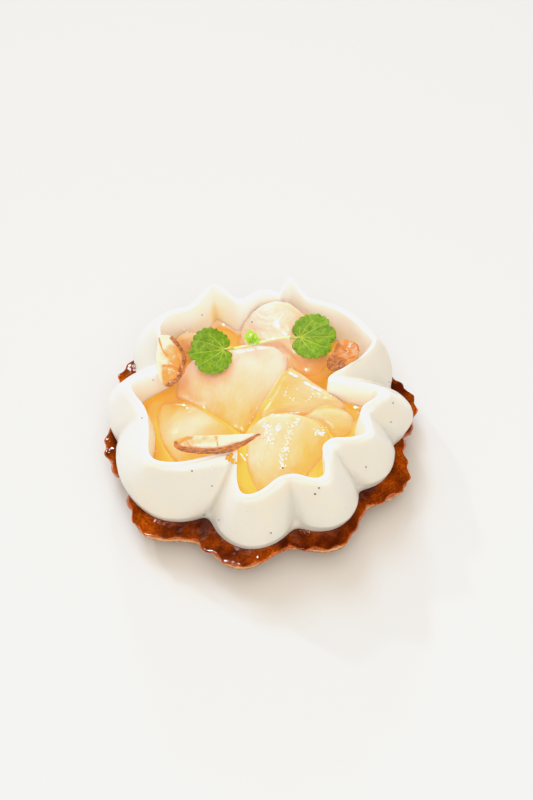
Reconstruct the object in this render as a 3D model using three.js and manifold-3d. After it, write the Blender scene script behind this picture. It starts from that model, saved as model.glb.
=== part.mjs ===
// Pear almond tart: a scalloped shortcrust base with a dark caramel glaze on its rim, a piped ring of
// cream that folds into eleven lobes, and glazed pear slices, roasted almond pieces and a mint sprig in it.
//
// Millimetres, +Z up. The origin is the centre of the base's underside, and +Y is the back of the tart.
// Heights of everything on the crust are given above the rim, and places round the tart as an angle in
// degrees, counter-clockwise from +X, with a reach from the axis.
import * as THREE from "three";
import Module from "manifold-3d";
import { LoftGeometry } from "three/addons/geometries/LoftGeometry.js";
import { mergeVertices } from "three/addons/utils/BufferGeometryUtils.js";

const wasm = await Module();
wasm.setup();

// ---- driving dimensions ----

const RIM_HEIGHT = 8.7;
const GAP = 0.3; // clearance between pieces that touch

const CRUST = {
  petals: 10,
  firstPetal: 11,
  reach: 46,
  scallop: 2.5,
  // How far each baked petal strays from the even flower.
  stray: [0.7, 0.4, 0, 0, -0.3, -1.1, 1.4, -0.2, -0.9, -0.1],
  steps: 110,
  // From the underside up: height, how far inside the rim, and how much of the scallop is left there.
  profile: [
    { z: 0, inset: 8.2, wave: 0.4 },
    { z: 0.5, inset: 7.4, wave: 0.45 },
    { z: 4.4, inset: 2.6, wave: 0.8 },
    { z: 5.2, inset: 0.5, wave: 1 },
    { z: 7.4, inset: 0, wave: 1 },
    { z: 8.3, inset: 0.5, wave: 1 },
    { z: RIM_HEIGHT, inset: 1.7, wave: 0.95 },
  ],
};

const CREAM = {
  wall: 1.3, // width of the piped edge at the crest
  bulge: 0.9, // how far a lobe swells past its foot
  bulgeAt: 0.22, // share of the height where it swells most
  fullness: 1.7, // over 1 keeps the outer face full up to the crest
  footFullness: 2.2,
  creaseRound: 2.4, // over 1 rounds the crest where it turns at a crease
  innerSlope: 3.6, // how far the inner face comes in towards its foot
  innerFullness: 1.3,
  deepCrease: 20, // reach of a crease so deep that the inner face stands upright there
  openCrest: 34, // reach from which it slopes in fully
  mostSlant: 1.7, // most that the wall widens where the crest runs slantwise
  degreesPerStep: 4.3,
  fewestSteps: 7,
  gathered: 0.45, // how much the steps draw together at the creases
  outerLevels: [0, 0.09, 0.22, 0.36, 0.5, 0.63, 0.75, 0.85, 0.93],
  innerLevels: [0.93, 0.78, 0.56, 0.3, 0],
  // The rounded edge on top: share of the half wall, and drop below the crest.
  edge: [
    { side: 0.95, drop: 0.45 },
    { side: 0.45, drop: 0.05 },
    { side: -0.45, drop: 0.05 },
    { side: -0.95, drop: 0.45 },
  ],
};

// The lobes in order, from the deep fold at the front. Each starts at a crease, and its crest swings out
// to a crown and back to the next crease. crease and crown: angle, reach and height of the crest there.
// foot: angle and reach of the crease on the crust. swell: reach of the lobe's foot. full: how full the
// crest is before and after its crown.
const LOBES = [
  { crease: [255.6, 23.9, 20.3], foot: [245.4, 34.5], crown: [268, 35.4, 19.5], swell: 42.3, full: [6, 1.5] },
  { crease: [284.5, 30.3, 19.3], foot: [286, 35.9], crown: [300, 35.5, 19.5], swell: 41.6, full: [1.5, 1.5] },
  { crease: [314.5, 26.4, 19.3], foot: [320, 36], crown: [331, 33.7, 19.5], swell: 40.5, full: [1.5, 1.6] },
  { crease: [344, 29.8, 19.3], foot: [347, 38.5], crown: [357.5, 34.4, 19.5], swell: 43.4, full: [1.7, 1.7] },
  { crease: [372, 20.6, 17.2], foot: [374, 39.6], crown: [386, 36.8, 19.5], swell: 43.6, full: [2, 5.4] },
  { crease: [424.5, 35.2, 19.2], foot: [424, 40], crown: [436.8, 38.4, 22.4], swell: 42, full: [1.5, 1.5] },
  { crease: [440.8, 34.4, 19.4], foot: [442, 40.3], crown: [446, 34.8, 19.5], swell: 42.3, full: [1.8, 2.2] },
  { crease: [459.1, 31.6, 19.3], foot: [459, 39.6], crown: [471.2, 37.6, 22], swell: 43, full: [1.5, 1.6] },
  { crease: [485.5, 35.4, 19.3], foot: [483, 41], crown: [495, 37.4, 19.6], swell: 45, full: [1.5, 3.4] },
  { crease: [517, 28, 14.5], foot: [517, 39.5], crown: [539, 36.3, 19.5], swell: 43.3, full: [1.6, 1.8] },
  { crease: [556, 32.7, 19.4], foot: [551, 41], crown: [579.5, 37.6, 19.5], swell: 43.8, full: [1.5, 1.6] },
].map(readLobe);

// The jelly's wall follows the cream's inner face: height, and the share of the cream's height there.
const JELLY = {
  gap: 0.5,
  walls: [
    { z: GAP, level: 0 },
    { z: 3.6, level: 0.18 },
    { z: 6.8, level: 0.34 },
  ],
};

const SLICE = {
  steps: 20,
  bottom: 4,
  undercut: 0.8, // how far the lower edge is rounded, in and up
  lean: 0.4,
  round: 1.5,
  // The rounded upper edge, as shares of round: how far in and how far down.
  edge: [
    { inside: 0, down: 1 },
    { inside: 0.3, down: 0.4 },
    { inside: 1, down: 0 },
  ],
  // The domed top, as shares of the outline's size and of the dome.
  top: [
    { size: 0.55, dome: 0.7 },
    { size: 0.2, dome: 1 },
  ],
};

// Each slice of pear by the corners of its upper face: x, y and height above the rim. lean is how far the
// sides of a slice that leans on the cream come in towards its underside.
const PEARS = {
  pear_centre_left: {
    dome: 0.6,
    corners: [
      [-23.6, 4.7, 8.6], [-22.4, 11.6, 10.2], [-17.4, 17.6, 11.4], [-7.5, 18.0, 12.9], [1.3, 19.4, 13.5],
      [6.9, 17.8, 13.0], [7.9, 13.8, 12.2], [2.5, 4.8, 10.4], [-2.9, -4.5, 8.9], [-4.1, -7.9, 8.2],
      [-9.4, -4.6, 8.2], [-16.1, 0.8, 8.4],
    ],
  },
  pear_centre_right: {
    dome: 0.3,
    corners: [
      [9.0, 12.0, 12.6], [12.0, 9.2, 13.0], [17.9, 4.4, 12.5], [22.2, 1.7, 11.6], [24.8, -0.5, 10.6],
      [19.8, 0.1, 11.0], [13.4, -1.7, 10.4], [6.2, -1.8, 9.6], [-0.2, -3.2, 8.6], [3.9, 4.4, 10.2],
    ],
  },
  pear_right: {
    dome: 0.2,
    corners: [
      [14.4, -3.3, 10.6], [20.4, -1.4, 10.8], [25.6, -2.6, 10.1], [25.9, -7.2, 8.8], [21.9, -9.0, 8.6],
      [18.7, -6.0, 9.6],
    ],
  },
  pear_front: {
    dome: 0.9,
    corners: [
      [-2.4, -9.5, 9.4], [-1.2, -6.6, 10.6], [1.1, -4.9, 11.2], [4.2, -3.8, 11.6], [10.3, -4.1, 11.8],
      [14.0, -5.0, 11.4], [17.8, -8.1, 10.8], [19.6, -11.2, 9.8], [15.5, -18.0, 9.0], [8.0, -26.0, 8.2],
      [1.5, -28.0, 8.0], [-1.9, -23.0, 8.0], [-3.1, -14.0, 8.6],
    ],
  },
  pear_front_left: {
    dome: 0.8,
    corners: [
      [-28.8, -2.2, 8.8], [-27.0, 1.2, 9.6], [-20.9, 0.8, 10.4], [-13.9, -3.8, 10.4], [-7.4, -9.3, 9.8],
      [-7.0, -16.4, 9.2], [-14.2, -20.2, 8.8], [-21.6, -18.0, 8.8], [-26.4, -11.4, 8.8],
    ],
  },
  pear_back: {
    dome: 0.8,
    lean: 2.4,
    corners: [
      [-5.3, 25.6, 11.6], [-3.0, 29.0, 15.2], [0.7, 31.0, 17.8], [4.6, 31.8, 19.0], [9.0, 30.8, 19.0],
      [12.9, 27.9, 17.4], [16.8, 24.6, 15.2], [19.6, 19.4, 13.0], [18.9, 14.6, 11.2], [15.3, 11.3, 10.2],
      [10.8, 14.0, 10.2], [6.5, 20.0, 11.0], [-3.0, 21.4, 10.4],
    ],
  },
  pear_back_left: {
    dome: 0.4,
    lean: 2.4,
    corners: [
      [-24.4, 21.6, 13.2], [-23.4, 23.2, 13.8], [-20.0, 24.2, 13.6], [-14.1, 23.2, 12], [-10.6, 22.4, 11],
      [-12.0, 19.4, 9.6], [-19.0, 19.2, 10.2],
    ],
  },
};

// The skin side of an almond piece, from its lowest ring up to the flat cut face: size is a share of the
// outline and inside a distance from it, and down is a share of the depth.
const ALMOND = {
  skin: [
    { size: 0.35, down: 1 },
    { size: 0.7, down: 0.85 },
  ],
  side: [
    { inside: 0.5, down: 0.5 },
    { inside: 0, down: 0.15 },
    { inside: 0.25, down: 0 },
  ],
  face: 0.4,
};
// Two almond pieces by the outline of the cut face, and the depth of the skin side under that face.
const HALF_ALMOND = {
  depth: 3.0,
  steps: 18,
  corners: [
    [-28.4, 17.0, 20.2], [-29.0, 13.5, 19.8], [-28.6, 5.5, 17.4], [-26.4, 2.5, 16.4], [-23.1, 3.8, 16.8],
    [-20.9, 8.9, 17.9], [-22.0, 13.0, 19.2], [-25.0, 16.6, 20.2],
  ],
};
const ALMOND_CHUNK = {
  depth: 2.6,
  steps: 16,
  corners: [
    [23.0, 15.2, 20.4], [27.8, 13.8, 20.4], [28.0, 10.8, 19.4], [22.8, 8.4, 16.4], [20.3, 8.8, 15.4],
    [19.3, 10.8, 15.4], [21.1, 13.2, 17.8],
  ],
};
const SLIVER = {
  from: -22.4,
  to: 0.1,
  face: 22.3, // height of the cut face
  tipLift: 1.1,
  // The outline of a section, as shares of its width from the front edge and of its depth.
  outline: [
    { across: 1, down: 0 },
    { across: 0, down: 0.04 },
    { across: -0.12, down: 0.45 },
    { across: 0.12, down: 0.85 },
    { across: 0.45, down: 1 },
    { across: 0.85, down: 0.7 },
    { across: 1.04, down: 0.25 },
  ],
  // Along the sliver: share of its length, front edge, back edge and depth of the skin side.
  sections: [
    { at: 0, front: -21.9, back: -20.6, depth: 0.7 },
    { at: 0.06, front: -22.5, back: -20.0, depth: 1.4 },
    { at: 0.14, front: -22.9, back: -19.5, depth: 2.0 },
    { at: 0.34, front: -23.3, back: -19.1, depth: 2.3 },
    { at: 0.58, front: -23.2, back: -19.0, depth: 2.2 },
    { at: 0.75, front: -22.2, back: -18.9, depth: 1.7 },
    { at: 0.88, front: -20.8, back: -18.8, depth: 1.1 },
    { at: 1, front: -19.2, back: -18.8, depth: 0.35 },
  ],
};

const LEAF = {
  thickness: 0.4,
  teeth: 14,
  stepsPerTooth: 3,
  toothDepth: 0.07,
  toothRound: 0.7,
  bay: 0.3, // depth of the heart-shaped bay at the stalk
  bayWidth: 0.32, // in radians
  middle: 0.42, // share of the length where the rings are centred
  rings: [0.06, 0.35, 0.7, 1],
  fold: 0.16, // how far the two halves rise from the midrib
  droop: 0.03, // how far the margin hangs, as a share of the width
  wave: 0.35,
  waves: 3,
};
// Each leaf by the ends of its midrib and one point of its back margin.
const LEAVES = {
  mint_leaf_left: {
    stalk: [-8.3, 16.3, 14.9],
    tip: [-20.6, 13.9, 16.0],
    back: [-13.8, 21.6, 18.0],
    width: 13.4,
  },
  mint_leaf_right: {
    stalk: [9.6, 19.0, 17.5],
    tip: [22.3, 18.2, 18.6],
    back: [15.3, 25.0, 20.6],
    width: 13.2,
  },
};

const STALK = {
  radius: 0.38,
  sides: 8,
  steps: 10,
  path: [[-7.5, 16.6, 14.9], [-2.2, 18.0, 14.9], [3.1, 19.1, 15.7], [8.9, 19.1, 17.2]],
};
const BUD = {
  at: [-2.2, 18.6, 15.2],
  sides: 8,
  rings: 6,
  thickness: 0.7,
  rootedAt: 0.38, // share of a leaflet's length between its root and its middle
  leaflets: [
    { length: 3.2, width: 1.7, turn: 100, tilt: 55 },
    { length: 2.6, width: 1.4, turn: 190, tilt: 35 },
    { length: 2.4, width: 1.3, turn: 10, tilt: 25 },
    { length: 2.2, width: 1.2, turn: 300, tilt: 30 },
  ],
};

// ---- materials ----

const standard = (color, roughness) => new THREE.MeshStandardMaterial({ color, roughness, metalness: 0 });
const PASTRY = standard("#8a4a1e", 0.4);
const WHIPPED_CREAM = standard("#f7f4ea", 0.5);
const GEL = standard("#f0bf5e", 0.15);
const PEAR = standard("#f3deb4", 0.2);
const ROAST_ALMOND = standard("#e0b483", 0.5);
const MINT = standard("#6d9f28", 0.5);
const STEM = standard("#c3cf8a", 0.5);

// ---- small helpers ----

function readLobe({ crease, foot, crown, swell, full }) {
  const place = ([turn, r, h]) => ({ turn, r, h });
  const [rise, fall] = full;
  return { crease: place(crease), foot: place(foot), crown: place(crown), swell, rise, fall };
}

const mix = THREE.MathUtils.lerp;
const radians = THREE.MathUtils.degToRad;

function polar(turn, reach, z) {
  return new THREE.Vector3(reach * Math.cos(radians(turn)), reach * Math.sin(radians(turn)), z);
}

// A point on the crust, from a height above the rim.
const above = ([x, y, h]) => new THREE.Vector3(x, y, RIM_HEIGHT + h);

function piece(name, geometry, material) {
  const mesh = new THREE.Mesh(geometry, material);
  mesh.name = name;
  return mesh;
}

// A geometry with its shared vertices merged, and without the triangles that this leaves with no area.
function welded(geometry) {
  const bare = new THREE.BufferGeometry().copy(geometry);
  bare.deleteAttribute("normal");
  bare.deleteAttribute("uv");
  const merged = mergeVertices(bare, 1e-4);
  const kept = [];
  for (let i = 0; i < merged.index.count; i += 3) {
    const [a, b, c] = merged.index.array.subarray(i, i + 3);
    if (a !== b && b !== c && c !== a) kept.push(a, b, c);
  }
  merged.setIndex(kept);
  merged.computeVertexNormals();
  return merged;
}

const middleOf = (ring) => ring.reduce((sum, p) => sum.add(p), new THREE.Vector3()).divideScalar(ring.length);

// The closed surface through rings of points, with a lid that fans out from the middle at either end.
function lidded(rings) {
  const tip = (ring) => ring.map(() => middleOf(ring));
  return welded(new LoftGeometry([tip(rings[0]), ...rings, tip(rings.at(-1))]));
}

function toSolid(geometry) {
  const merged = welded(geometry);
  const vertProperties = merged.attributes.position.array;
  const triVerts = merged.index.array;
  return new wasm.Manifold(new wasm.Mesh({ numProp: 3, vertProperties, triVerts }));
}

function toGeometry(solid) {
  const { vertProperties, triVerts } = solid.getMesh();
  const geometry = new THREE.BufferGeometry();
  geometry.setAttribute("position", new THREE.BufferAttribute(vertProperties, 3));
  geometry.setIndex(new THREE.BufferAttribute(triVerts, 1));
  geometry.computeVertexNormals();
  return geometry;
}

// A counter-clockwise ring drawn in by a distance across its own edge, and moved up.
function inset(ring, distance, rise = 0) {
  return ring.map((p, i) => {
    const before = ring[(i + ring.length - 1) % ring.length];
    const after = ring[(i + 1) % ring.length];
    const inwards = new THREE.Vector3(before.y - after.y, after.x - before.x, 0).setLength(distance);
    return p.clone().add(inwards.setZ(rise));
  });
}

// A ring shrunk evenly about its own middle to a share of its size, and moved up.
function shrunk(ring, share, rise = 0) {
  const middle = middleOf(ring);
  const lift = new THREE.Vector3(0, 0, rise);
  return ring.map((p) => middle.clone().lerp(p, share).add(lift));
}

const levelled = (ring, z) => ring.map((p) => new THREE.Vector3(p.x, p.y, z));

function roundedOutline(corners, steps) {
  const curve = new THREE.CatmullRomCurve3(corners.map(above), true, "centripetal");
  const ring = curve.getSpacedPoints(steps).slice(0, steps);
  const doubleArea = ring.reduce((sum, p, i) => {
    const q = ring[(i + 1) % steps];
    return sum + p.x * q.y - q.x * p.y;
  }, 0);
  return doubleArea > 0 ? ring : ring.reverse();
}

// ---- crust ----

function rimStray(turn) {
  const petal = (turn - CRUST.firstPetal) / (360 / CRUST.petals);
  const before = Math.floor(petal);
  const strayOf = (i) => CRUST.stray[((i % CRUST.petals) + CRUST.petals) % CRUST.petals];
  return mix(strayOf(before), strayOf(before + 1), THREE.MathUtils.smoothstep(petal - before, 0, 1));
}

function rimReach(turn, wave) {
  const flower = Math.cos(radians(CRUST.petals * (turn - CRUST.firstPetal)));
  return CRUST.reach - CRUST.scallop + rimStray(turn) + CRUST.scallop * wave * flower;
}

function crustGeometry() {
  const rings = CRUST.profile.map(({ z, inset: inside, wave }) =>
    Array.from({ length: CRUST.steps }, (_, i) => {
      const turn = (360 * i) / CRUST.steps;
      return polar(turn, rimReach(turn, wave) - inside, z);
    }),
  );
  return lidded(rings);
}

// ---- cream ----

// The crest and the foot of the ring at a share of the way through a lobe.
function creamLine(index, share) {
  const here = LOBES[index];
  const next = LOBES[(index + 1) % LOBES.length];
  const wrap = index + 1 === LOBES.length ? 360 : 0;
  const turn = mix(here.crease.turn, next.crease.turn + wrap, share);
  const rising = turn < here.crown.turn;
  const crease = rising ? here.crease : { ...next.crease, turn: next.crease.turn + wrap };
  const away = (turn - here.crown.turn) / (crease.turn - here.crown.turn);
  const swing = (1 - Math.min(1, away) ** (rising ? here.rise : here.fall)) ** CREAM.creaseRound;
  const footSwing = 1 - Math.abs(2 * share - 1) ** CREAM.footFullness;
  return {
    crest: {
      turn,
      r: mix(crease.r, here.crown.r, swing),
      h: mix(crease.h, here.crown.h, swing),
    },
    foot: {
      turn: mix(here.foot.turn, next.foot.turn + wrap, share),
      r: mix(share < 0.5 ? here.foot.r : next.foot.r, here.swell, footSwing),
      bulge: CREAM.bulge * footSwing,
    },
  };
}

// How much wider the wall is along the reach where the crest runs slantwise.
function slantFactor(index, share) {
  const step = 0.02;
  const a = creamLine(index, Math.max(0, share - step)).crest;
  const b = creamLine(index, Math.min(1, share + step)).crest;
  const along = radians(b.turn - a.turn) * a.r;
  return Math.min(CREAM.mostSlant, Math.hypot(1, (b.r - a.r) / along));
}

function outerPoint({ crest, foot }, halfWall, level) {
  const over = (level - CREAM.bulgeAt) / (1 - CREAM.bulgeAt);
  const under = (CREAM.bulgeAt - level) / CREAM.bulgeAt;
  const out = over > 0 ? 1 - over ** CREAM.fullness : 1;
  const tuck = over > 0 ? 1 : 1 - under ** 2;
  const reach = mix(crest.r + halfWall, foot.r + foot.bulge * tuck, out);
  return polar(mix(foot.turn, crest.turn, level), reach, RIM_HEIGHT + mix(GAP, crest.h, level));
}

function innerPoint({ crest, foot }, halfWall, level) {
  const room = THREE.MathUtils.smoothstep(crest.r, CREAM.deepCrease, CREAM.openCrest);
  const reach = crest.r - halfWall - CREAM.innerSlope * room * (1 - level) ** CREAM.innerFullness;
  return polar(mix(foot.turn, crest.turn, level), reach, RIM_HEIGHT + mix(GAP, crest.h, level));
}

// One closed section through the ring, from the foot up the outer face and down the inner face.
function creamSection(index, share) {
  const line = creamLine(index, share);
  const halfWall = (CREAM.wall / 2) * slantFactor(index, share);
  const { turn, r, h } = line.crest;
  return [
    ...CREAM.outerLevels.map((level) => outerPoint(line, halfWall, level)),
    ...CREAM.edge.map(({ side, drop }) => polar(turn, r + side * halfWall, RIM_HEIGHT + h - drop)),
    ...CREAM.innerLevels.map((level) => innerPoint(line, halfWall, level)),
  ];
}

// Every lobe's shares, with the steps drawn together at its creases.
function creamStations() {
  return LOBES.flatMap((here, index) => {
    const next = LOBES[(index + 1) % LOBES.length];
    const span = (next.crease.turn - here.crease.turn + 360) % 360;
    const steps = Math.max(CREAM.fewestSteps, Math.round(span / CREAM.degreesPerStep));
    return Array.from({ length: steps }, (_, i) => {
      const around = (2 * Math.PI * i) / steps;
      return { index, share: (around - CREAM.gathered * Math.sin(around)) / (2 * Math.PI) };
    });
  });
}

function creamGeometry() {
  const sections = creamStations().map(({ index, share }) => creamSection(index, share));
  return welded(new LoftGeometry([...sections, sections[0]].toReversed()));
}

// ---- jelly ----

function jellyGeometry() {
  const ringAt = (level) =>
    creamStations().map(({ index, share }) => {
      const line = creamLine(index, share);
      const halfWall = (CREAM.wall / 2) * slantFactor(index, share);
      return innerPoint(line, halfWall + JELLY.gap, level);
    });
  return lidded(JELLY.walls.map(({ level, z }) => levelled(ringAt(level), RIM_HEIGHT + z)));
}

// ---- pear slices ----

function sliceGeometry({ corners, dome, lean = SLICE.lean }, grow = 0) {
  const rim = inset(roundedOutline(corners, SLICE.steps), -grow, grow);
  const bottom = RIM_HEIGHT + SLICE.bottom - grow;
  return lidded([
    levelled(inset(rim, lean + SLICE.undercut), bottom),
    levelled(inset(rim, lean), bottom + SLICE.undercut),
    ...SLICE.edge.map(({ inside, down }) => inset(rim, inside * SLICE.round, -down * SLICE.round)),
    ...SLICE.top.map((ring) => shrunk(rim, ring.size, ring.dome * dome)),
  ]);
}

// ---- almonds ----

// A flat cut face with a rounded skin side under it.
function almondGeometry({ corners, depth, steps }) {
  const rim = roundedOutline(corners, steps);
  return lidded([
    ...ALMOND.skin.map(({ size, down }) => shrunk(rim, size, -down * depth)),
    ...ALMOND.side.map(({ inside, down }) => inset(rim, inside, -down * depth)),
    shrunk(rim, ALMOND.face),
  ]);
}

function sliverGeometry() {
  const rings = SLIVER.sections.map(({ at, front, back, depth }) => {
    const x = mix(SLIVER.from, SLIVER.to, at);
    const top = SLIVER.face + SLIVER.tipLift * at ** 3;
    const wide = back - front;
    return SLIVER.outline.map(({ across, down }) => above([x, front + across * wide, top - down * depth]));
  });
  return lidded(rings);
}

// ---- mint ----

// The leaf's outline in its own plane: the stalk at the origin and the midrib along +X.
function leafOutline(length, width, share, ring) {
  const turn = 2 * Math.PI * share;
  const tooth = Math.abs(Math.cos((LEAF.teeth * turn) / 2)) ** LEAF.toothRound;
  const bay = Math.exp(-(((turn - Math.PI) / LEAF.bayWidth) ** 2));
  const reach = (1 - ring ** 3 * LEAF.toothDepth * (1 - tooth)) * (1 - ring * LEAF.bay * bay);
  return new THREE.Vector2((length / 2) * (1 + reach * Math.cos(turn)), (width / 2) * reach * Math.sin(turn));
}

function leafPoint(length, width, share, ring, side) {
  const edge = leafOutline(length, width, share, ring);
  const flat = new THREE.Vector2(length * LEAF.middle, 0).lerp(edge, ring);
  const lift = LEAF.fold * Math.abs(flat.y) - LEAF.droop * width * ring ** 4;
  const wavy = LEAF.wave * ring ** 2 * Math.sin(2 * Math.PI * LEAF.waves * share);
  return new THREE.Vector3(flat.x, flat.y, lift + wavy + (side * LEAF.thickness) / 2);
}

function leafGeometry(length, width) {
  const steps = LEAF.teeth * LEAF.stepsPerTooth;
  const shares = Array.from({ length: steps }, (_, i) => i / steps);
  const face = (ring, side) => shares.map((share) => leafPoint(length, width, share, ring, side));
  const under = LEAF.rings.map((ring) => face(ring, -1));
  const upper = LEAF.rings.toReversed().map((ring) => face(ring, 1));
  return lidded([...under, ...upper]);
}

function leaf(name, { stalk, tip, back, width }) {
  const start = above(stalk);
  const along = above(tip).sub(start);
  const length = along.length();
  const xAxis = along.normalize();
  const zAxis = new THREE.Vector3().crossVectors(xAxis, above(back).sub(start)).normalize();
  if (zAxis.z < 0) zAxis.negate();
  const yAxis = new THREE.Vector3().crossVectors(zAxis, xAxis);
  const mesh = piece(name, leafGeometry(length, width), MINT);
  mesh.quaternion.setFromRotationMatrix(new THREE.Matrix4().makeBasis(xAxis, yAxis, zAxis));
  mesh.position.copy(start);
  return mesh;
}

function leafletSolid({ length, width, turn, tilt }) {
  const lens = new THREE.SphereGeometry(0.5, BUD.sides, BUD.rings);
  lens.scale(length, width, BUD.thickness);
  lens.translate(length * BUD.rootedAt, 0, 0);
  lens.rotateY(-radians(tilt));
  lens.rotateZ(radians(turn));
  const [x, y, z] = above(BUD.at).toArray();
  lens.translate(x, y, z);
  return toSolid(lens);
}

function stalkGeometry() {
  const disc = new THREE.Shape().absarc(0, 0, STALK.radius, 0, 2 * Math.PI);
  const tube = new THREE.ExtrudeGeometry(disc, {
    extrudePath: new THREE.CatmullRomCurve3(STALK.path.map(above)),
    steps: STALK.steps,
    curveSegments: STALK.sides / 2,
  });
  const sprig = BUD.leaflets.reduce((sum, leaflet) => sum.add(leafletSolid(leaflet)), toSolid(tube));
  return toGeometry(sprig);
}

// ---- the tart ----

function jellyRoundSlices() {
  const pockets = Object.values(PEARS).map((pear) => toSolid(sliceGeometry(pear, GAP)));
  return toGeometry(pockets.reduce((jelly, pocket) => jelly.subtract(pocket), toSolid(jellyGeometry())));
}

const tart = new THREE.Group();
tart.add(piece("tart_base", crustGeometry(), PASTRY));
tart.add(piece("cream_ruffle", creamGeometry(), WHIPPED_CREAM));
tart.add(piece("pear_jelly", jellyRoundSlices(), GEL));
for (const [name, pear] of Object.entries(PEARS)) tart.add(piece(name, sliceGeometry(pear), PEAR));
tart.add(piece("almond_half", almondGeometry(HALF_ALMOND), ROAST_ALMOND));
tart.add(piece("almond_chunk", almondGeometry(ALMOND_CHUNK), ROAST_ALMOND));
tart.add(piece("almond_sliver", sliverGeometry(), ROAST_ALMOND));
for (const [name, spec] of Object.entries(LEAVES)) tart.add(leaf(name, spec));
tart.add(piece("mint_stalk", stalkGeometry(), STEM));

export default tart;
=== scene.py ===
"""Looks for a pear almond tart: glazed crust, piped cream, poached pear in jelly, almonds and mint."""

import math
from random import Random

import bmesh
import bpy
import numpy as np
from bpy.props import FloatProperty, FloatVectorProperty, IntProperty, PointerProperty
from bpy.types import Operator, Panel, PropertyGroup
from mathutils import Matrix, Vector, noise
from mathutils.bvhtree import BVHTree


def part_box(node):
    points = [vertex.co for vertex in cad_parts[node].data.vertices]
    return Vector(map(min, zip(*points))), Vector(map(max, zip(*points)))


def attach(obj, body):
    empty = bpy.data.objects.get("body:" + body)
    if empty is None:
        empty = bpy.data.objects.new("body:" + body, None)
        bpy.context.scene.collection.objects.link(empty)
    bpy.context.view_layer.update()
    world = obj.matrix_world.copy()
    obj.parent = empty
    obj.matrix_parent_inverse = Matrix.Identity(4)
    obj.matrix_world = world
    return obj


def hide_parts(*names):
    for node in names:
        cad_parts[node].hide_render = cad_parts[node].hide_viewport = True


bl_info = {
    "name": "Pear almond tart",
    "version": (1, 0, 0),
    "blender": (4, 5, 0),
    "location": "View3D > Sidebar > Tart",
    "description": "Dresses the solids of a small pear almond tart",
    "category": "Object",
}

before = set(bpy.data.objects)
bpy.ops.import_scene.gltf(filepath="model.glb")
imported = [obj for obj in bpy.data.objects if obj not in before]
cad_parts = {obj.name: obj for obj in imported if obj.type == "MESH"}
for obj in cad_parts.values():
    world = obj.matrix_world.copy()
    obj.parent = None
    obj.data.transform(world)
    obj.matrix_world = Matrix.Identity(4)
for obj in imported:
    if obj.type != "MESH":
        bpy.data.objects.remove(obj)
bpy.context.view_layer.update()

MM = 0.001
WELD = 0.002 * MM
FIT_ROUNDS = 4
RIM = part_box("tart_base")[1].z
JELLY_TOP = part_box("pear_jelly")[1].z
JELLY_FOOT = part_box("pear_jelly")[0].z
CREAM_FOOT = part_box("cream_ruffle")[0].z
CREAM_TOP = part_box("cream_ruffle")[1].z

# The glaze ends in a wavy edge this far below the rim and thins out over the fade on both sides of it.
# Bare crumb shows in a band under that edge.
GLAZE_EDGE = 1.2 * MM
GLAZE_FADE = 0.25 * MM
BARE_BELOW = 0.7 * MM
BARE_WIDTH = 0.5 * MM

# The foot of the cream is rounded up to this height, in this many rounds, and sinks into the glaze.
FOOT_HEIGHT = 5 * MM
FOOT_ROUNDS = 45
FOOT_SINK = 1.2 * MM
# The deep fold in the cream's back wall: its depth, its width, and the width of the golden band along it,
# which is part juice staining and part painted shade in the fold.
FOLD_DEPTH = 1.1 * MM
FOLD_WIDTH = 0.9 * MM
FOLD_STAIN_AND_SHADE = 1.6 * MM

# The slices are meshed this finely, and their edges are worn in this many rounds.
SLICE_GRAIN = 0.5 * MM
SLICE_WEAR = 9

# The jelly starts as a square sheet with this half width and step.
JELLY_REACH = 36 * MM
JELLY_STEP = 0.4 * MM
# How high a slice may lift the jelly, and how far under a slice's skin the sheet hides.
JELLY_LIFT = 5 * MM
JELLY_HIDE = 0.35 * MM

# Vanilla specks are cast onto the cream from this far out, over this reach.
SPECK_START = 60 * MM
SPECK_CAST = 50 * MM

# A leaf's margin is measured in this many directions. Its veins meet at this share of its radius, run to
# this share of it, and are drawn in this many parts.
MARGIN_STEPS = 90
LEAF_JUNCTION = 0.68
VEIN_REACH = 0.93
VEIN_PARTS = 6
# Main veins: direction in degrees from the stalk, and bend in degrees.
VEINS = ((180, 0), (146, 8), (-146, -8), (112, 14), (-112, -14), (74, 12), (-74, -12), (40, 6), (-40, -6))
VEIN_RELIEF = 0.16 * MM
STEM_RADIUS = 0.4 * MM

# The bud's small leaves: steps across and along each, where they grow from, what they face, and the place
# of each tip from there with its width, in millimetres.
LEAFLET_STEPS = (6, 12)
LEAFLET_THICKNESS = 0.15 * MM
BUD_FOOT = Vector((-2.2, 18.4, 24.5)) * MM
BUD_FACING = Vector((0, -0.58, 0.81))
BUD_TIPS = (
    (-0.8, 4.0, 1.5, 1.1), (-2.3, 2.5, 1.2, 0.95), (2.7, 0.6, 1.0, 0.9),
    (-1.9, 0.5, 1.4, 0.85), (1.3, 2.3, 1.8, 0.95), (0.5, -0.5, 1.5, 0.8),
)

FLOOR_REACH = 3.0
SOFT_BOX_SIZE = 0.9
# Tones from dark to bright, each with what it becomes where film would bend the brightest ones over.
FILM_TONES = ((0.75, 0.745), (0.88, 0.85), (1.0, 0.905), (1.2, 0.935), (2.0, 0.96))
FILM_WHITE = 4.0

# The picture's camera: what it looks at, how far down it looks, and from how far.
VIEW_AIM = Vector((2.05, 8.96, 8.7)) * MM
VIEW_DOWN = math.radians(54.4)
VIEW_DISTANCE = 330.1 * MM
VIEW_LENS = 50.0
SENSOR = 36.0
PICTURE = (533, 800)
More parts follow.
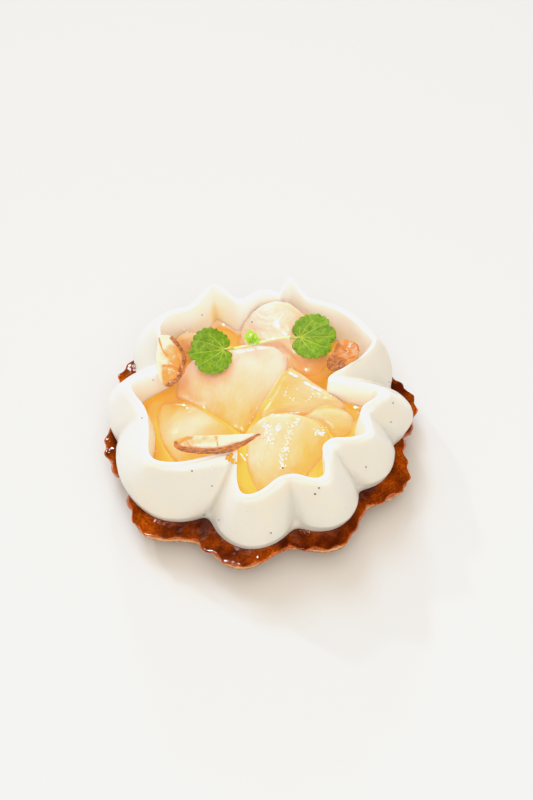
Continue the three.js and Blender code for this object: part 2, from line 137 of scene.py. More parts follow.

# Slices of pear: the line where each is palest, how far from it the slice turns golden, and the gold it
# starts with there. Millimetres in plan. The starting gold is painted light and shade: higher, so darker,
# on slices that get much light, and lower, so paler, on slices shaded by the back wall. The fibres run at
# an angle from the x axis, in degrees.
SLICES = {
    "pear_centre_left": {"pale": ((-12, 19), (8, 17)), "reach": 25, "start": 0.02, "fibres": 75},
    "pear_centre_right": {"pale": ((16, 4), (23, 0)), "reach": 17, "start": 0.64, "fibres": -5},
    "pear_right": {"pale": ((14, -2.5), (25, -1.5)), "reach": 7, "start": 0.5, "fibres": 0},
    "pear_front": {"pale": ((-1.5, -17), (8, -4)), "reach": 14, "start": 0.42, "fibres": 78},
    "pear_front_left": {"pale": ((-22, -8.5), (-17, -6)), "reach": 8.5, "start": 0.3, "fibres": 38},
    "pear_back": {"pale": ((-3, 30), (0, 26)), "reach": 24, "start": 0.0, "fibres": -42},
    "pear_back_left": {"pale": ((-14, 24), (-11, 23)), "reach": 14, "start": 0.25, "fibres": 0},
}

# Where dark vanilla specks show in the picture, in its pixels.
SPECK_PIXELS = (
    (153, 380), (142, 418), (192, 471), (219, 520), (271, 533), (290, 535), (245, 549), (204, 515),
    (212, 486), (319, 488), (315, 494), (366, 467), (391, 422), (393, 403), (389, 382), (347, 380),
    (202, 315), (252, 322), (283, 468),
)

# Drops of syrup at pixels of the picture, with their radii in millimetres. They are painted near white, as
# painted glints where the wet pear and jelly shine.
GLINT_DROP_PIXELS = (
    ((257, 408), 0.22), ((253, 417), 0.2), ((250, 423), 0.28), ((270, 399), 0.26), ((187, 408), 0.45),
    ((190, 412), 0.2), ((184, 403), 0.2), ((247, 455), 0.5), ((324, 356), 0.28), ((242, 323), 0.5),
    ((241, 327), 0.35), ((184, 330), 0.45), ((187, 332), 0.4), ((191, 333), 0.25), ((262, 460), 0.15),
    ((331, 396), 0.35), ((297, 389), 0.22), ((286, 392), 0.35), ((287, 388), 0.2), ((285, 395), 0.25),
    ((288, 386), 0.15), ((290, 398), 0.22), ((293, 400), 0.34), ((294, 398), 0.2), ((306, 401), 0.2),
    ((309, 399), 0.24), ((311, 397), 0.3), ((313, 394), 0.26), ((312, 390), 0.2), ((314, 396), 0.16),
    ((157, 451), 0.16), ((155, 447), 0.12), ((212, 470), 0.18), ((269, 347), 0.25), ((272, 351), 0.16),
)
# Beads of syrup along edges, each a radius in millimetres and the pixels that it runs through. They are
# painted near white, as painted highlights along wet edges.
GLINT_BEAD_PIXELS = (
    (0.42, (236, 353), (246, 351), (256, 349), (266, 348)),
    (0.44, (289, 372), (293, 375), (298, 377)),
    (0.44, (304, 382), (311, 386), (317, 389), (322, 391)),
    (0.18, (240, 453), (243, 457), (246, 461)),
    (0.2, (258, 423), (262, 420), (265, 418)),
    (0.2, (267, 417), (270, 415), (274, 414)),
    (0.16, (284, 414), (289, 413), (294, 413), (300, 412)),
)
# Grainy wet streaks of near-white grains, painted glints: how many grains, how far they scatter in pixels,
# and the pixels that they follow.
GLINT_STREAK_PIXELS = (
    (90, 2.0, (293, 425), (289, 436), (286, 447), (282, 458), (282, 467)),
    (75, 2.6, (268, 424), (267, 434), (271, 443)),
    (26, 1.6, (279, 424), (278, 432)),
    (40, 2.2, (315, 431), (321, 434), (324, 431)),
    (24, 1.2, (295, 424), (299, 418)),
)
# Crumbs of amber gel under the tip of the almond sliver, with their radii in millimetres.
CRUMB_PIXELS = (
    ((228, 457), 0.75), ((231, 455), 0.7), ((229, 460), 0.55), ((233, 461), 0.95), ((236, 463), 0.5),
    ((226, 459), 0.4), ((231, 459), 0.8), ((212, 466), 0.14), ((146, 487), 0.14), ((198, 500), 0.12),
)

# What the picture shows on the almonds, each a brush stroke through some of its pixels: what it is, its
# radius in millimetres, and its strength, which for a crack or a lump is its height in millimetres.
KERNEL_MARKS = {
    "almond_half": (
        ("crack", 0.28, 0.3, (159, 338), (162, 348), (167, 357)),
        ("crack", 0.3, 0.35, (163, 366), (172, 367), (181, 371)),
        ("crack", 0.2, 0.2, (176, 352), (180, 360), (181, 370)),
        ("lump", 2.2, 0.55, (172, 357), (176, 363)),
        ("lump", 0.9, 0.3, (166, 364), (169, 361)),
        ("toast", 2.4, 0.75, (174, 353), (178, 362), (175, 368)),
        ("toast", 2.0, 1.0, (182, 356), (180, 372), (171, 381)),
        ("toast", 0.9, 0.9, (165, 368), (166, 383)),
        ("toast", 0.8, 0.6, (157, 343), (156, 372), (160, 384)),
        ("skin", 0.55, 1.0, (172, 338), (180, 347), (185, 358), (185, 370), (178, 379), (168, 385),
         (161, 383)),
        ("skin", 0.3, 0.7, (157, 341), (156, 358), (157, 376)),
    ),
    "almond_chunk": (
        ("toast", 5.0, 0.9, (340, 346), (350, 345), (353, 352)),
        ("skin", 5.0, 0.3, (340, 346), (350, 345), (353, 352)),
        ("skin", 0.9, 0.7, (334, 350), (338, 344)),
        ("skin", 0.8, 0.6, (354, 345), (357, 350)),
        ("skin", 0.5, 0.6, (344, 351), (349, 354)),
        ("skin", 2.2, 1.0, (333, 363), (338, 366)),
        ("toast", 1.2, 1.0, (340, 369), (349, 366), (357, 357)),
        ("lump", 0.9, 0.35, (343, 345)),
        ("lump", 1.0, 0.3, (352, 349)),
        ("crack", 0.35, 0.3, (336, 357), (345, 361), (354, 357)),
        ("crack", 0.2, 0.15, (331, 362), (338, 362), (345, 366)),
        ("crack", 0.2, 0.15, (333, 366), (340, 367)),
    ),
    "almond_sliver": (
        ("crack", 0.2, 0.25, (216, 437), (217, 441), (218, 446)),
        ("toast", 1.3, 0.5, (186, 441), (200, 439), (213, 438)),
        ("toast", 0.9, 1.0, (176, 444), (184, 438), (190, 437)),
        ("toast", 1.0, 0.9, (176, 446), (183, 451), (190, 454)),
        ("skin", 0.5, 0.9, (175, 443), (178, 447), (184, 449)),
        ("skin", 1.35, 1.0, (186, 452), (198, 453), (211, 453)),
        ("skin", 1.15, 1.0, (211, 453), (226, 450), (238, 446)),
        ("skin", 0.7, 1.0, (238, 446), (250, 440), (259, 435)),
        ("lump", 0.8, 0.35, (181, 441)),
        ("lump", 0.7, 0.3, (188, 438)),
        ("lump", 0.6, 0.25, (179, 447)),
        ("crack", 0.25, 0.2, (186, 440), (190, 446), (200, 448)),
    ),
}


def linear(code):
    """An sRGB hex colour as linear red, green, blue and alpha."""
    parts = [int(code[i : i + 2], 16) / 255 for i in (1, 3, 5)]
    return (*(c / 12.92 if c <= 0.04045 else ((c + 0.055) / 1.055) ** 2.4 for c in parts), 1.0)


def colour(name, description, code):
    return FloatVectorProperty(
        name=name, description=description, default=linear(code), size=4, min=0.0, max=1.0, subtype="COLOR"
    )


def length(name, description, millimetres):
    return FloatProperty(
        name=name, description=description, default=millimetres * MM, min=0.0, unit="LENGTH", precision=5
    )


def brightness(name, description, default):
    return FloatProperty(name=name, description=description, default=default, min=0.0)


class CrustSettings(PropertyGroup):
    crumb: colour("Crumb", "Baked shortcrust on the matte side", "#BE8655")
    crumb_dark: colour("Dark crumb", "Darker grains of the side", "#8F5A34")
    glaze: colour("Glaze", "Caramel where it is thin over the grains", "#D05C03")
    glaze_dark: colour("Dark glaze", "Caramel where it pools", "#461404")
    edge: colour("Bared edge", "Pale crumb just under the glaze", "#DDB184")
    glaze_depth: length("Glaze depth", "Thickness of the glaze at its lower edge", 0.3)
    creep: length("Creep", "How far the glaze is drawn up at the foot of the cream", 1.5)
    grain: length("Grain", "Size of the crumbs", 0.6)


class CreamSettings(PropertyGroup):
    # The outer cream colour is painted darker than the inner one, as painted shade. The inner colour also
    # covers the top of the crest: painted light through the walls and from above.
    white: colour("Cream", "Whipped cream", "#D9D6CE")
    inner: colour("Inner cream", "Cream of the inner walls, lit through from behind", "#FFFBF2")
    # Golden colour for juice staining by the jelly and for painted shade along the fold.
    stain_and_shade_colour: colour("Stained cream", "Inner wall where the juice has drawn in", "#FFDC9C")
    groove: FloatProperty(
        name="Groove",
        description="Direction of the deep fold in the back wall",
        default=math.radians(112),
        subtype="ANGLE",
    )
    swirl: length("Swirl", "Height of the faint piping lines", 0.07)
    stain_height: length("Stain height", "How far above the jelly the juice has drawn in", 8.0)
    specks: IntProperty(
        name="Specks", description="Vanilla specks besides those that the picture shows", default=70, min=0
    )


class PearSettings(PropertyGroup):
    pale: colour("Pale pear", "Flesh at its palest", "#F1D2C2")
    golden: colour("Golden pear", "Flesh deep in the jelly", "#EFA750")
    jelly: colour("Jelly", "Clear jelly between the slices", "#F8B950")
    # Near-white colour of the syrup grains: painted glints on the wet pear and jelly.
    glint_white: colour("Drop", "Drops of clear syrup", "#FFFFFA")
    crumb: colour("Gel crumb", "Crumbs of amber gel", "#EDA12C")
    fibre: length("Fibre", "Width of the fine fibres", 0.5)
    swell: length("Swell", "How far the slices press towards each other", 0.8)
    wet_edge: length("Wet edge", "How far the jelly climbs the walls", 0.9)
    fill_reach: length("Fill reach", "How widely the jelly rounds off the crevices", 1.1)
    fill_drop: length("Fill drop", "How far the jelly stays below a full crevice", 0.15)
    deep: length("Deep jelly", "Thickness at which the jelly shows its full colour", 1.6)


class AlmondSettings(PropertyGroup):
    cut: colour("Cut face", "Pale kernel", "#F6D6B6")
    toasted: colour("Toasted", "Toasted kernel", "#E0822A")
    skin: colour("Skin", "Brown skin", "#C0702C")
    skin_dark: colour("Dark skin", "Wrinkles of the skin", "#6E3210")
    wrinkle: length("Wrinkle", "Spacing of the wrinkles in the skin", 0.42)


class MintSettings(PropertyGroup):
    blade: colour("Blade", "Leaf between the veins", "#527A02")
    blade_light: colour("Light blade", "Leaf where it bulges", "#7A9C0E")
    vein: colour("Vein", "Veins", "#AEC04E")
    stalk: colour("Stalk", "Stalk", "#D0DCA2")
    bud: colour("Bud", "Small leaves of the bud", "#9CCB2A")
    vein_width: length("Vein width", "Width of the main veins", 0.14)
    tooth_depth: length("Tooth depth", "Depth of the deepest cuts between the rounded teeth", 1.3)


class StageSettings(PropertyGroup):
    floor: colour("Floor", "Pale floor", "#C8C5C1")
    fill: colour("Fill", "Warm soft light from all round", "#F0E4D0")
    key: colour("Key", "Cool light from the back left", "#C2DDFF")
    top: colour("Top", "Neutral light from above", "#FFFAF2")
    fill_strength: brightness("Fill strength", "Brightness of the room", 0.72)
    top_strength: brightness("Top strength", "Brightness of the soft box above", 3.3)
    front_strength: brightness("Front strength", "Brightness of the front soft box", 5.3)
    key_strength: brightness("Key strength", "Brightness of the main lamp", 1.85)
    glint_strength: brightness("Glint strength", "Brightness of the small lamps", 0.7)


# Directions of the cuts in each leaf's margin, in degrees from its stalk. The tip between the far two is
# smooth.
LEAF_CUTS = {
    "mint_leaf_left": (27, 41, 55, 68, 83, 100, 117, 134, 156, -154, -135, -114, -97, -79, -60, -42, -26),
    "mint_leaf_right": (32, 50, 64, 81, 99, 122, 152, -143, -122, -106, -89, -74, -61, -48, -32),
}


# ---- shapes ----


def merged_copy(node):
    """A solid's mesh with its vertices merged and its triangles paired into quads."""
    bm = bmesh.new()
    bm.from_mesh(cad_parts[node].data)
    bmesh.ops.remove_doubles(bm, verts=bm.verts, dist=WELD)
    bmesh.ops.join_triangles(
        bm, faces=bm.faces, angle_face_threshold=math.pi, angle_shape_threshold=math.pi
    )
    return bm


def corners_of(mesh, count):
    """Places of a mesh's first vertices, which a subdivision keeps in the cage's own order."""
    places = np.empty(len(mesh.vertices) * 3)
    mesh.vertices.foreach_get("co", places)
    return places.reshape(-1, 3)[:count]


def as_object(bm, name):
    """The mesh as an object in the scene."""
    mesh = bpy.data.meshes.new(name)
    bm.to_mesh(mesh)
    bm.free()
    holder = bpy.data.objects.new(name, mesh)
    bpy.context.scene.collection.objects.link(holder)
    return holder


def evaluated(holder):
    """An object as its modifiers make it."""
    return holder.evaluated_get(bpy.context.evaluated_depsgraph_get())


def applied(holder):
    """The mesh that an object's modifiers make. The object itself goes."""
    fine = bpy.data.meshes.new_from_object(evaluated(holder))
    cage = holder.data
    bpy.data.objects.remove(holder)
    bpy.data.meshes.remove(cage)
    bm = bmesh.new()
    bm.from_mesh(fine)
    bpy.data.meshes.remove(fine)
    return bm


def smoothed(bm, levels, fits=FIT_ROUNDS):
    """The same shape with rounded faces. The cage is moved out until the smooth shape meets the solid."""
    holder = as_object(bm, "cage")
    cage = holder.data
    rounding = holder.modifiers.new("Rounding", "SUBSURF")
    rounding.levels = rounding.render_levels = 1
    count = len(cage.vertices)
    goal = corners_of(cage, count)
    for _ in range(fits):
        rounded = evaluated(holder)
        miss = goal - corners_of(rounded.to_mesh(), count)
        rounded.to_mesh_clear()
        cage.vertices.foreach_set("co", (corners_of(cage, count) + miss).ravel())
        cage.update()
    rounding.levels = rounding.render_levels = levels
    return applied(holder)


def add_bead(bm, start, end, radius):
    """A thin bead of syrup that lies along a stretch of an edge and tapers to its ends."""
    run = end - start
    turn = run.to_track_quat("X", "Z").to_matrix().to_4x4()
    size = Matrix.Diagonal((run.length / 2, radius, radius * 0.6, 1.0))
    bmesh.ops.create_icosphere(
        bm, subdivisions=2, radius=1.0, matrix=Matrix.Translation((start + end) / 2) @ turn @ size
    )


def cut_shape(bm, swell):
    """The same cut shape as one even, fine mesh: pressed out sideways, with its edges worn round."""
    bm.normal_update()
    moves = [v.normal.xy * swell for v in bm.verts]
    for v, move in zip(bm.verts, moves):
        v.co.xy += move
    holder = as_object(bm, "cut")
    even = holder.modifiers.new("Even", "REMESH")
    even.mode = "VOXEL"
    even.voxel_size = SLICE_GRAIN
    worn = holder.modifiers.new("Worn", "SMOOTH")
    worn.iterations = SLICE_WEAR
    fine = holder.modifiers.new("Fine", "SUBSURF")
    fine.levels = fine.render_levels = 1
    return applied(holder)


def push(bm, height):
    """Moves every vertex along its normal by height(place, normal)."""
    bm.normal_update()
    moves = [v.normal * height(v.co, v.normal) for v in bm.verts]
    for v, move in zip(bm.verts, moves):
        v.co += move
    bm.normal_update()


def paint_all(bm, name, values):
    """Gives every vertex its value from a list, for a material to read."""
    layer = bm.verts.layers.float.new(name)
    for v, value in zip(bm.verts, values):
        v[layer] = float(value)


def paint(bm, name, value):
    """Gives every vertex an attribute, value(place, normal), that a material reads."""
    bm.normal_update()
    paint_all(bm, name, [value(v.co, v.normal) for v in bm.verts])


def settle(bm, name, finish, slot, *replaced):
    """Makes the finished mesh a piece of the tart."""
    piece = as_object(bm, name)
    piece.data.shade_smooth()
    piece.data.materials.append(finish)
    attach(piece, "root")
    if replaced:
        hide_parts(*replaced)
    return piece


def ease(value, low, high):
    """0 below low, 1 above high, and smooth between them."""
    t = min(1.0, max(0.0, (value - low) / (high - low)))
    return t * t * (3 - 2 * t)


def ripple(place, size, seed=0.0):
    """Smooth noise from -1 to 1, with bumps about size across."""
    return noise.noise(place / size + Vector((seed, seed, seed)))


def crags(place, size, seed=0.0):
    """Rougher noise, with finer bumps on the bumps."""
    return noise.fractal(place / size + Vector((seed, seed, seed)), 0.7, 2.0, 4)


def from_line(place, start, end):
    """Distance in plan from a place to a line's stretch, all in the same unit."""
    a, b, p = Vector(start[:2]), Vector(end[:2]), Vector(place[:2])
    share = max(0.0, min(1.0, (p - a).dot(b - a) / (b - a).length_squared))
    return (p - a.lerp(b, share)).length


def stroke(spots, points, radius):
    """How strongly a brush stroke along some points touches each spot, from 0 to 1."""
    strength = np.zeros(len(spots))
    for start, end in zip(points, points[1:] or points):
        a, run = np.array(start), np.array(end) - np.array(start)
        share = np.clip((spots - a) @ run / max(run @ run, 1e-12), 0, 1)
        away = np.linalg.norm(spots - a - share[:, None] * run, axis=1)
        strength = np.maximum(strength, np.exp(-((away / radius) ** 2)))
    return strength


def tree_of(*pieces):
    """One search tree over the meshes of some pieces."""
    bm = bmesh.new()
    for piece in pieces:
        bm.from_mesh(piece.data)
    tree = BVHTree.FromBMesh(bm)
    bm.free()
    return tree


def face_values(piece, name):
    """A painted attribute, one value for each face of a piece."""
    mesh = piece.data
    values = mesh.attributes[name].data
    return [values[face.vertices[0]].value for face in mesh.polygons]


def sight(pixel):
    """Start and direction of the line of sight through a pixel of the picture."""
    forward = Vector((0, math.cos(VIEW_DOWN), -math.sin(VIEW_DOWN)))
    right = Vector((1, 0, 0))
    up = right.cross(forward)
    focal = VIEW_LENS / SENSOR * max(PICTURE)
    across = right * (pixel[0] - PICTURE[0] / 2) - up * (pixel[1] - PICTURE[1] / 2)
    return VIEW_AIM - forward * VIEW_DISTANCE, (forward * focal + across).normalized()


def seen_at(tree, pixel):
    """Place and normal of the surface that shows at a pixel of the picture."""
    place, normal, _, _ = tree.ray_cast(*sight(pixel))
    return place, normal


def add_grain(bm, place, normal, radius, flatness, turn):
    """One small lump on a surface."""
    lie = normal.to_track_quat("Z", "Y").to_matrix().to_4x4()
    size = Matrix.Diagonal((radius, radius * 0.75, radius * flatness, 1.0))
    spin = Matrix.Rotation(turn, 4, "Z")
    bmesh.ops.create_icosphere(
        bm, subdivisions=1, radius=1.0, matrix=Matrix.Translation(place) @ lie @ spin @ size
    )


# ---- materials ----


def add_node(tree, kind, inputs, output=0, **settings):
    """Adds a shader node and gives its output. Each input is a value or the output that feeds it."""
    node = tree.nodes.new("ShaderNode" + kind)
    for name, value in settings.items():
        setattr(node, name, value)
    for key, value in inputs.items():
        if isinstance(value, bpy.types.NodeSocket):
            tree.links.new(value, node.inputs[key])
        else:
            node.inputs[key].default_value = value
    return node.outputs[output]


def new_material(name, **sockets):
    """A material, its node tree, its shader's inputs and the object's own coordinates."""
    made = bpy.data.materials.new(name)
    made.use_nodes = True
    tree = made.node_tree
    shader = tree.nodes["Principled BSDF"].inputs
    for socket, value in sockets.items():
        shader[socket.replace("_", " ")].default_value = value
    return made, tree, shader, add_node(tree, "TexCoord", {}, "Object")


def per(size):
    """Scale of a noise whose bumps are about size across, in metres."""
    return 1.0 / size


# In the finishes below a Mix node takes its share at 0 and its colours at 6 and 7 and gives a colour at 2,
# and a MapRange node takes a value at 0, its range at 1 and 2 and the new range at 3 and 4.


def glazed_crust_finish(look):
    """Baked shortcrust under set caramel. The side is matte and sandy. The rim is wet and dark, and orange
    where the caramel runs thin over the outer grains."""
    made, tree, shader, place = new_material(
        "glazed_shortcrust", Roughness=0.8, Specular_IOR_Level=0.0, Coat_Roughness=0.07, Coat_IOR=1.5
    )
    glazed, thin, edge = (
        add_node(tree, "Attribute", {}, "Fac", attribute_name=name) for name in ("glaze", "thin", "edge")
    )
    grains = add_node(tree, "TexNoise", {"Vector": place, "Scale": per(look.grain), "Detail": 4.0}, "Fac")
    pools = add_node(tree, "TexNoise", {"Vector": place, "Scale": per(9 * MM), "Detail": 2.0}, "Fac")
    coarse = add_node(tree, "MapRange", {0: grains, 1: 0.35, 2: 0.65})
    crumb = add_node(tree, "Mix", {0: coarse, 6: look.crumb_dark, 7: look.crumb}, 2, data_type="RGBA")
    crumb = add_node(tree, "Mix", {0: edge, 6: crumb, 7: look.edge}, 2, data_type="RGBA")
    shallow = add_node(tree, "MapRange", {0: pools, 1: 0.36, 2: 0.68, 3: -0.05, 4: 0.6})
    shallow = add_node(tree, "Math", {0: shallow, 1: thin}, operation="ADD")
    sugar = add_node(tree, "MapRange", {0: grains, 1: 0.4, 2: 0.62, 3: 0.4, 4: 1.1})
    shallow = add_node(tree, "Math", {0: shallow, 1: sugar}, operation="MULTIPLY", use_clamp=True)
    caramel = add_node(tree, "Mix", {0: shallow, 6: look.glaze_dark, 7: look.glaze}, 2, data_type="RGBA")
    base = add_node(tree, "Mix", {0: glazed, 6: crumb, 7: caramel}, 2, data_type="RGBA")
    tree.links.new(base, shader["Base Color"])
    tree.links.new(glazed, shader["Coat Weight"])
    tree.links.new(add_node(tree, "Bump", {"Height": grains, "Distance": 0.2 * MM}), shader["Normal"])
    wet = add_node(tree, "TexNoise", {"Vector": place, "Scale": per(1.3 * MM), "Detail": 1.0}, "Fac")
    tree.links.new(add_node(tree, "Bump", {"Height": wet, "Distance": 0.2 * MM}), shader["Coat Normal"])
    return made


def cream_finish(look):
    """Whipped cream, piped: satin and faintly translucent, with warm patches, and juice stains where it
    meets the jelly. The inner walls and the top of the crest are painted brighter, as painted light, and
    the darker outer cream is painted shade."""
    made, tree, shader, place = new_material(
        "whipped_cream",
        Roughness=0.4,
        IOR=1.4,
        Subsurface_Weight=1.0,
        Subsurface_Radius=(1.0, 0.9, 0.75),
        Subsurface_Scale=2.8 * MM,
        Coat_Weight=0.4,
        Coat_Roughness=0.14,
    )
    # Inner walls and the top of the crest take the brighter inner colour: painted light.
    inner_and_top_painted_light = add_node(tree, "Attribute", {}, "Fac", attribute_name="inner_and_top_painted_light")
    stain_and_fold_shade = add_node(tree, "Attribute", {}, "Fac", attribute_name="stain_and_fold_shade")
    patches = add_node(tree, "TexNoise", {"Vector": place, "Scale": per(7 * MM), "Detail": 3.0}, "Fac")
    warm = add_node(tree, "MapRange", {0: patches, 1: 0.5, 2: 0.75, 3: 0.0, 4: 0.16})
    outer = add_node(tree, "Mix", {0: warm, 6: look.white, 7: look.stain_and_shade_colour}, 2, data_type="RGBA")
    walls = add_node(tree, "Mix", {0: inner_and_top_painted_light, 6: outer, 7: look.inner}, 2, data_type="RGBA")
    # Golden colour by the jelly and along the fold: juice staining, and painted shade in the fold.
    base = add_node(tree, "Mix", {0: stain_and_fold_shade, 6: walls, 7: look.stain_and_shade_colour}, 2, data_type="RGBA")
    tree.links.new(base, shader["Base Color"])
    pores = add_node(tree, "TexNoise", {"Vector": place, "Scale": per(0.6 * MM), "Detail": 2.0}, "Fac")
    tree.links.new(add_node(tree, "Bump", {"Height": pores, "Distance": 0.02 * MM}), shader["Normal"])
    return made


def pear_finish(look, name, turn):
    """Poached pear under clear jelly: translucent flesh with fine fibres, and a wet skin of jelly."""
    made, tree, shader, place = new_material(
        "poached_" + name,
        Roughness=0.3,
        IOR=1.38,
        Subsurface_Weight=1.0,
        Subsurface_Radius=(1.0, 0.8, 0.5),
        Subsurface_Scale=0.6 * MM,
        Coat_Weight=1.0,
        Coat_Roughness=0.05,
        Coat_IOR=1.35,
    )
    turned = {"Vector": place, "Rotation": (0.0, 0.0, turn)}
    drawn = add_node(tree, "Mapping", {**turned, "Scale": (9.0, 1.0, 1.0)}, vector_type="TEXTURE")
    fibres = add_node(tree, "TexNoise", {"Vector": drawn, "Scale": per(look.fibre), "Detail": 3.0}, "Fac")
    cloudy = add_node(tree, "Mapping", {**turned, "Scale": (2.5, 1.0, 1.0)}, vector_type="TEXTURE")
    clouds = add_node(tree, "TexNoise", {"Vector": cloudy, "Scale": per(3.5 * MM), "Detail": 2.0}, "Fac")
    gold = add_node(tree, "Attribute", {}, "Fac", attribute_name="gold")
    streaks = add_node(tree, "MapRange", {0: fibres, 1: 0.3, 2: 0.7, 3: 0.07, 4: -0.07})
    gold = add_node(tree, "Math", {0: gold, 1: streaks})
    drifts = add_node(tree, "MapRange", {0: clouds, 1: 0.3, 2: 0.7, 3: 0.1, 4: -0.1})
    gold = add_node(tree, "Math", {0: gold, 1: drifts}, use_clamp=True)
    base = add_node(tree, "Mix", {0: gold, 6: look.pale, 7: look.golden}, 2, data_type="RGBA")
    tree.links.new(base, shader["Base Color"])
    tree.links.new(add_node(tree, "Bump", {"Height": fibres, "Distance": 0.06 * MM}), shader["Normal"])
    wet = add_node(tree, "TexNoise", {"Vector": place, "Scale": per(1.4 * MM), "Detail": 1.0}, "Fac")
    tree.links.new(add_node(tree, "Bump", {"Height": wet, "Distance": 0.03 * MM}), shader["Coat Normal"])
    return made


def jelly_finish(look):
    """Clear set jelly: deep gold where it is thick, with a mirror-like wet surface."""
    made, tree, shader, place = new_material(
        "clear_jelly",
        Roughness=0.15,
        IOR=1.36,
        Subsurface_Weight=1.0,
        Subsurface_Radius=(1.0, 0.7, 0.3),
        Subsurface_Scale=0.3 * MM,
        Coat_Weight=1.0,
        Coat_Roughness=0.03,
    )
    gold = add_node(tree, "Attribute", {}, "Fac", attribute_name="gold")
    depth = add_node(tree, "TexNoise", {"Vector": place, "Scale": per(5 * MM), "Detail": 1.0}, "Fac")
    deep = add_node(tree, "MapRange", {0: depth, 1: 0.3, 2: 0.7, 3: 0.0, 4: 0.35})
    clear = add_node(tree, "Mix", {0: deep, 6: look.jelly, 7: look.golden}, 2, data_type="RGBA")
    base = add_node(tree, "Mix", {0: gold, 6: look.pale, 7: clear}, 2, data_type="RGBA")
    tree.links.new(base, shader["Base Color"])
    tree.links.new(add_node(tree, "Bump", {"Height": depth, "Distance": 0.2 * MM}), shader["Coat Normal"])
    return made


def almond_finish(look, name):
    """Roasted almond: waxy pale kernel where it is cut, toasted orange edges, wrinkled brown skin."""
    made, tree, shader, place = new_material(
        "roasted_" + name, Roughness=0.45, Coat_Weight=0.4, Coat_Roughness=0.15
    )
    skin = add_node(tree, "Attribute", {}, "Fac", attribute_name="skin")
    toast = add_node(tree, "Attribute", {}, "Fac", attribute_name="toast")
    drawn = add_node(tree, "Mapping", {"Vector": place, "Scale": (3.0, 1.0, 1.0)}, vector_type="TEXTURE")
    creases = {"Vector": drawn, "Scale": per(look.wrinkle), "Detail": 5.0}
    wrinkles = add_node(tree, "TexNoise", creases, "Fac")
    cloud = add_node(tree, "TexNoise", {"Vector": place, "Scale": per(1.6 * MM), "Detail": 4.0}, "Fac")
    cloud = add_node(tree, "MapRange", {0: cloud, 1: 0.35, 2: 0.7, 3: -0.1, 4: 0.3})
    warm = add_node(tree, "Math", {0: cloud, 1: toast}, use_clamp=True)
    kernel = add_node(tree, "Mix", {0: warm, 6: look.cut, 7: look.toasted}, 2, data_type="RGBA")
    folds = add_node(tree, "MapRange", {0: wrinkles, 1: 0.32, 2: 0.66})
    hull = add_node(tree, "Mix", {0: folds, 6: look.skin_dark, 7: look.skin}, 2, data_type="RGBA")
    base = add_node(tree, "Mix", {0: skin, 6: kernel, 7: hull}, 2, data_type="RGBA")
    tree.links.new(base, shader["Base Color"])
    height = add_node(tree, "Math", {0: wrinkles, 1: skin}, operation="MULTIPLY")
    tree.links.new(add_node(tree, "Bump", {"Height": height, "Distance": 0.25 * MM}), shader["Normal"])
    return made


def leaf_finish(look, name):
    """Fresh mint leaf: saturated green that bulges between pale veins, satin from its waxy skin."""
    made, tree, shader, place = new_material(
        "fresh_" + name,
        Roughness=0.45,
        Subsurface_Weight=0.15,
        Subsurface_Scale=0.5 * MM,
        Specular_IOR_Level=0.3,
    )
    mottle = add_node(tree, "TexNoise", {"Vector": place, "Scale": per(1.5 * MM), "Detail": 4.0}, "Fac")
    cells = {"Vector": place, "Scale": per(0.9 * MM)}
    cells = add_node(tree, "TexVoronoi", cells, "Distance", feature="DISTANCE_TO_EDGE")
    net = add_node(tree, "MapRange", {0: cells, 1: 0.0, 2: 0.08, 3: 0.22, 4: 0.0})
    vein = add_node(tree, "Attribute", {}, "Fac", attribute_name="vein")
    veins = add_node(tree, "Math", {0: net, 1: vein}, operation="MAXIMUM")
    light = add_node(tree, "MapRange", {0: mottle, 1: 0.35, 2: 0.7})
    blade = add_node(tree, "Mix", {0: light, 6: look.blade, 7: look.blade_light}, 2, data_type="RGBA")
    base = add_node(tree, "Mix", {0: veins, 6: blade, 7: look.vein}, 2, data_type="RGBA")
    tree.links.new(base, shader["Base Color"])
    pillows = add_node(tree, "MapRange", {0: cells, 1: 0.0, 2: 0.3})
    tree.links.new(add_node(tree, "Bump", {"Height": pillows, "Distance": 0.08 * MM}), shader["Normal"])
    return made


def stalk_finish(look):
    """Young mint stalk: pale and watery, with brighter green at the bud."""
    made, tree, shader, place = new_material(
        "young_mint_stalk",
        Roughness=0.35,
        Subsurface_Weight=0.2,
        Coat_Weight=0.4,
        Subsurface_Scale=0.5 * MM,
    )
    bud = add_node(tree, "Attribute", {}, "Fac", attribute_name="bud")
    base = add_node(tree, "Mix", {0: bud, 6: look.stalk, 7: look.bud}, 2, data_type="RGBA")
    tree.links.new(base, shader["Base Color"])
    skin = add_node(tree, "TexNoise", {"Vector": place, "Scale": per(0.4 * MM), "Detail": 2.0}, "Fac")
    tree.links.new(add_node(tree, "Bump", {"Height": skin, "Distance": 0.05 * MM}), shader["Normal"])
    return made


def small_grain_finish(name, base, roughness, coat=0.0):
    """Vanilla seed, set syrup painted near white as glints, or amber gel: grains too small for a pattern,
    so only their tone varies.
    """
    made, tree, shader, place = new_material(
        name, Roughness=roughness, Coat_Weight=coat, Coat_Roughness=0.05
    )
    lighter = tuple(min(1.0, 1.25 * c) for c in base[:3]) + (1.0,)
    tone = add_node(tree, "TexNoise", {"Vector": place, "Scale": per(0.3 * MM), "Detail": 2.0}, "Fac")
    tint = add_node(tree, "Mix", {0: tone, 6: base, 7: lighter}, 2, data_type="RGBA")
    tree.links.new(tint, shader["Base Color"])
    return made


# ---- pieces ----


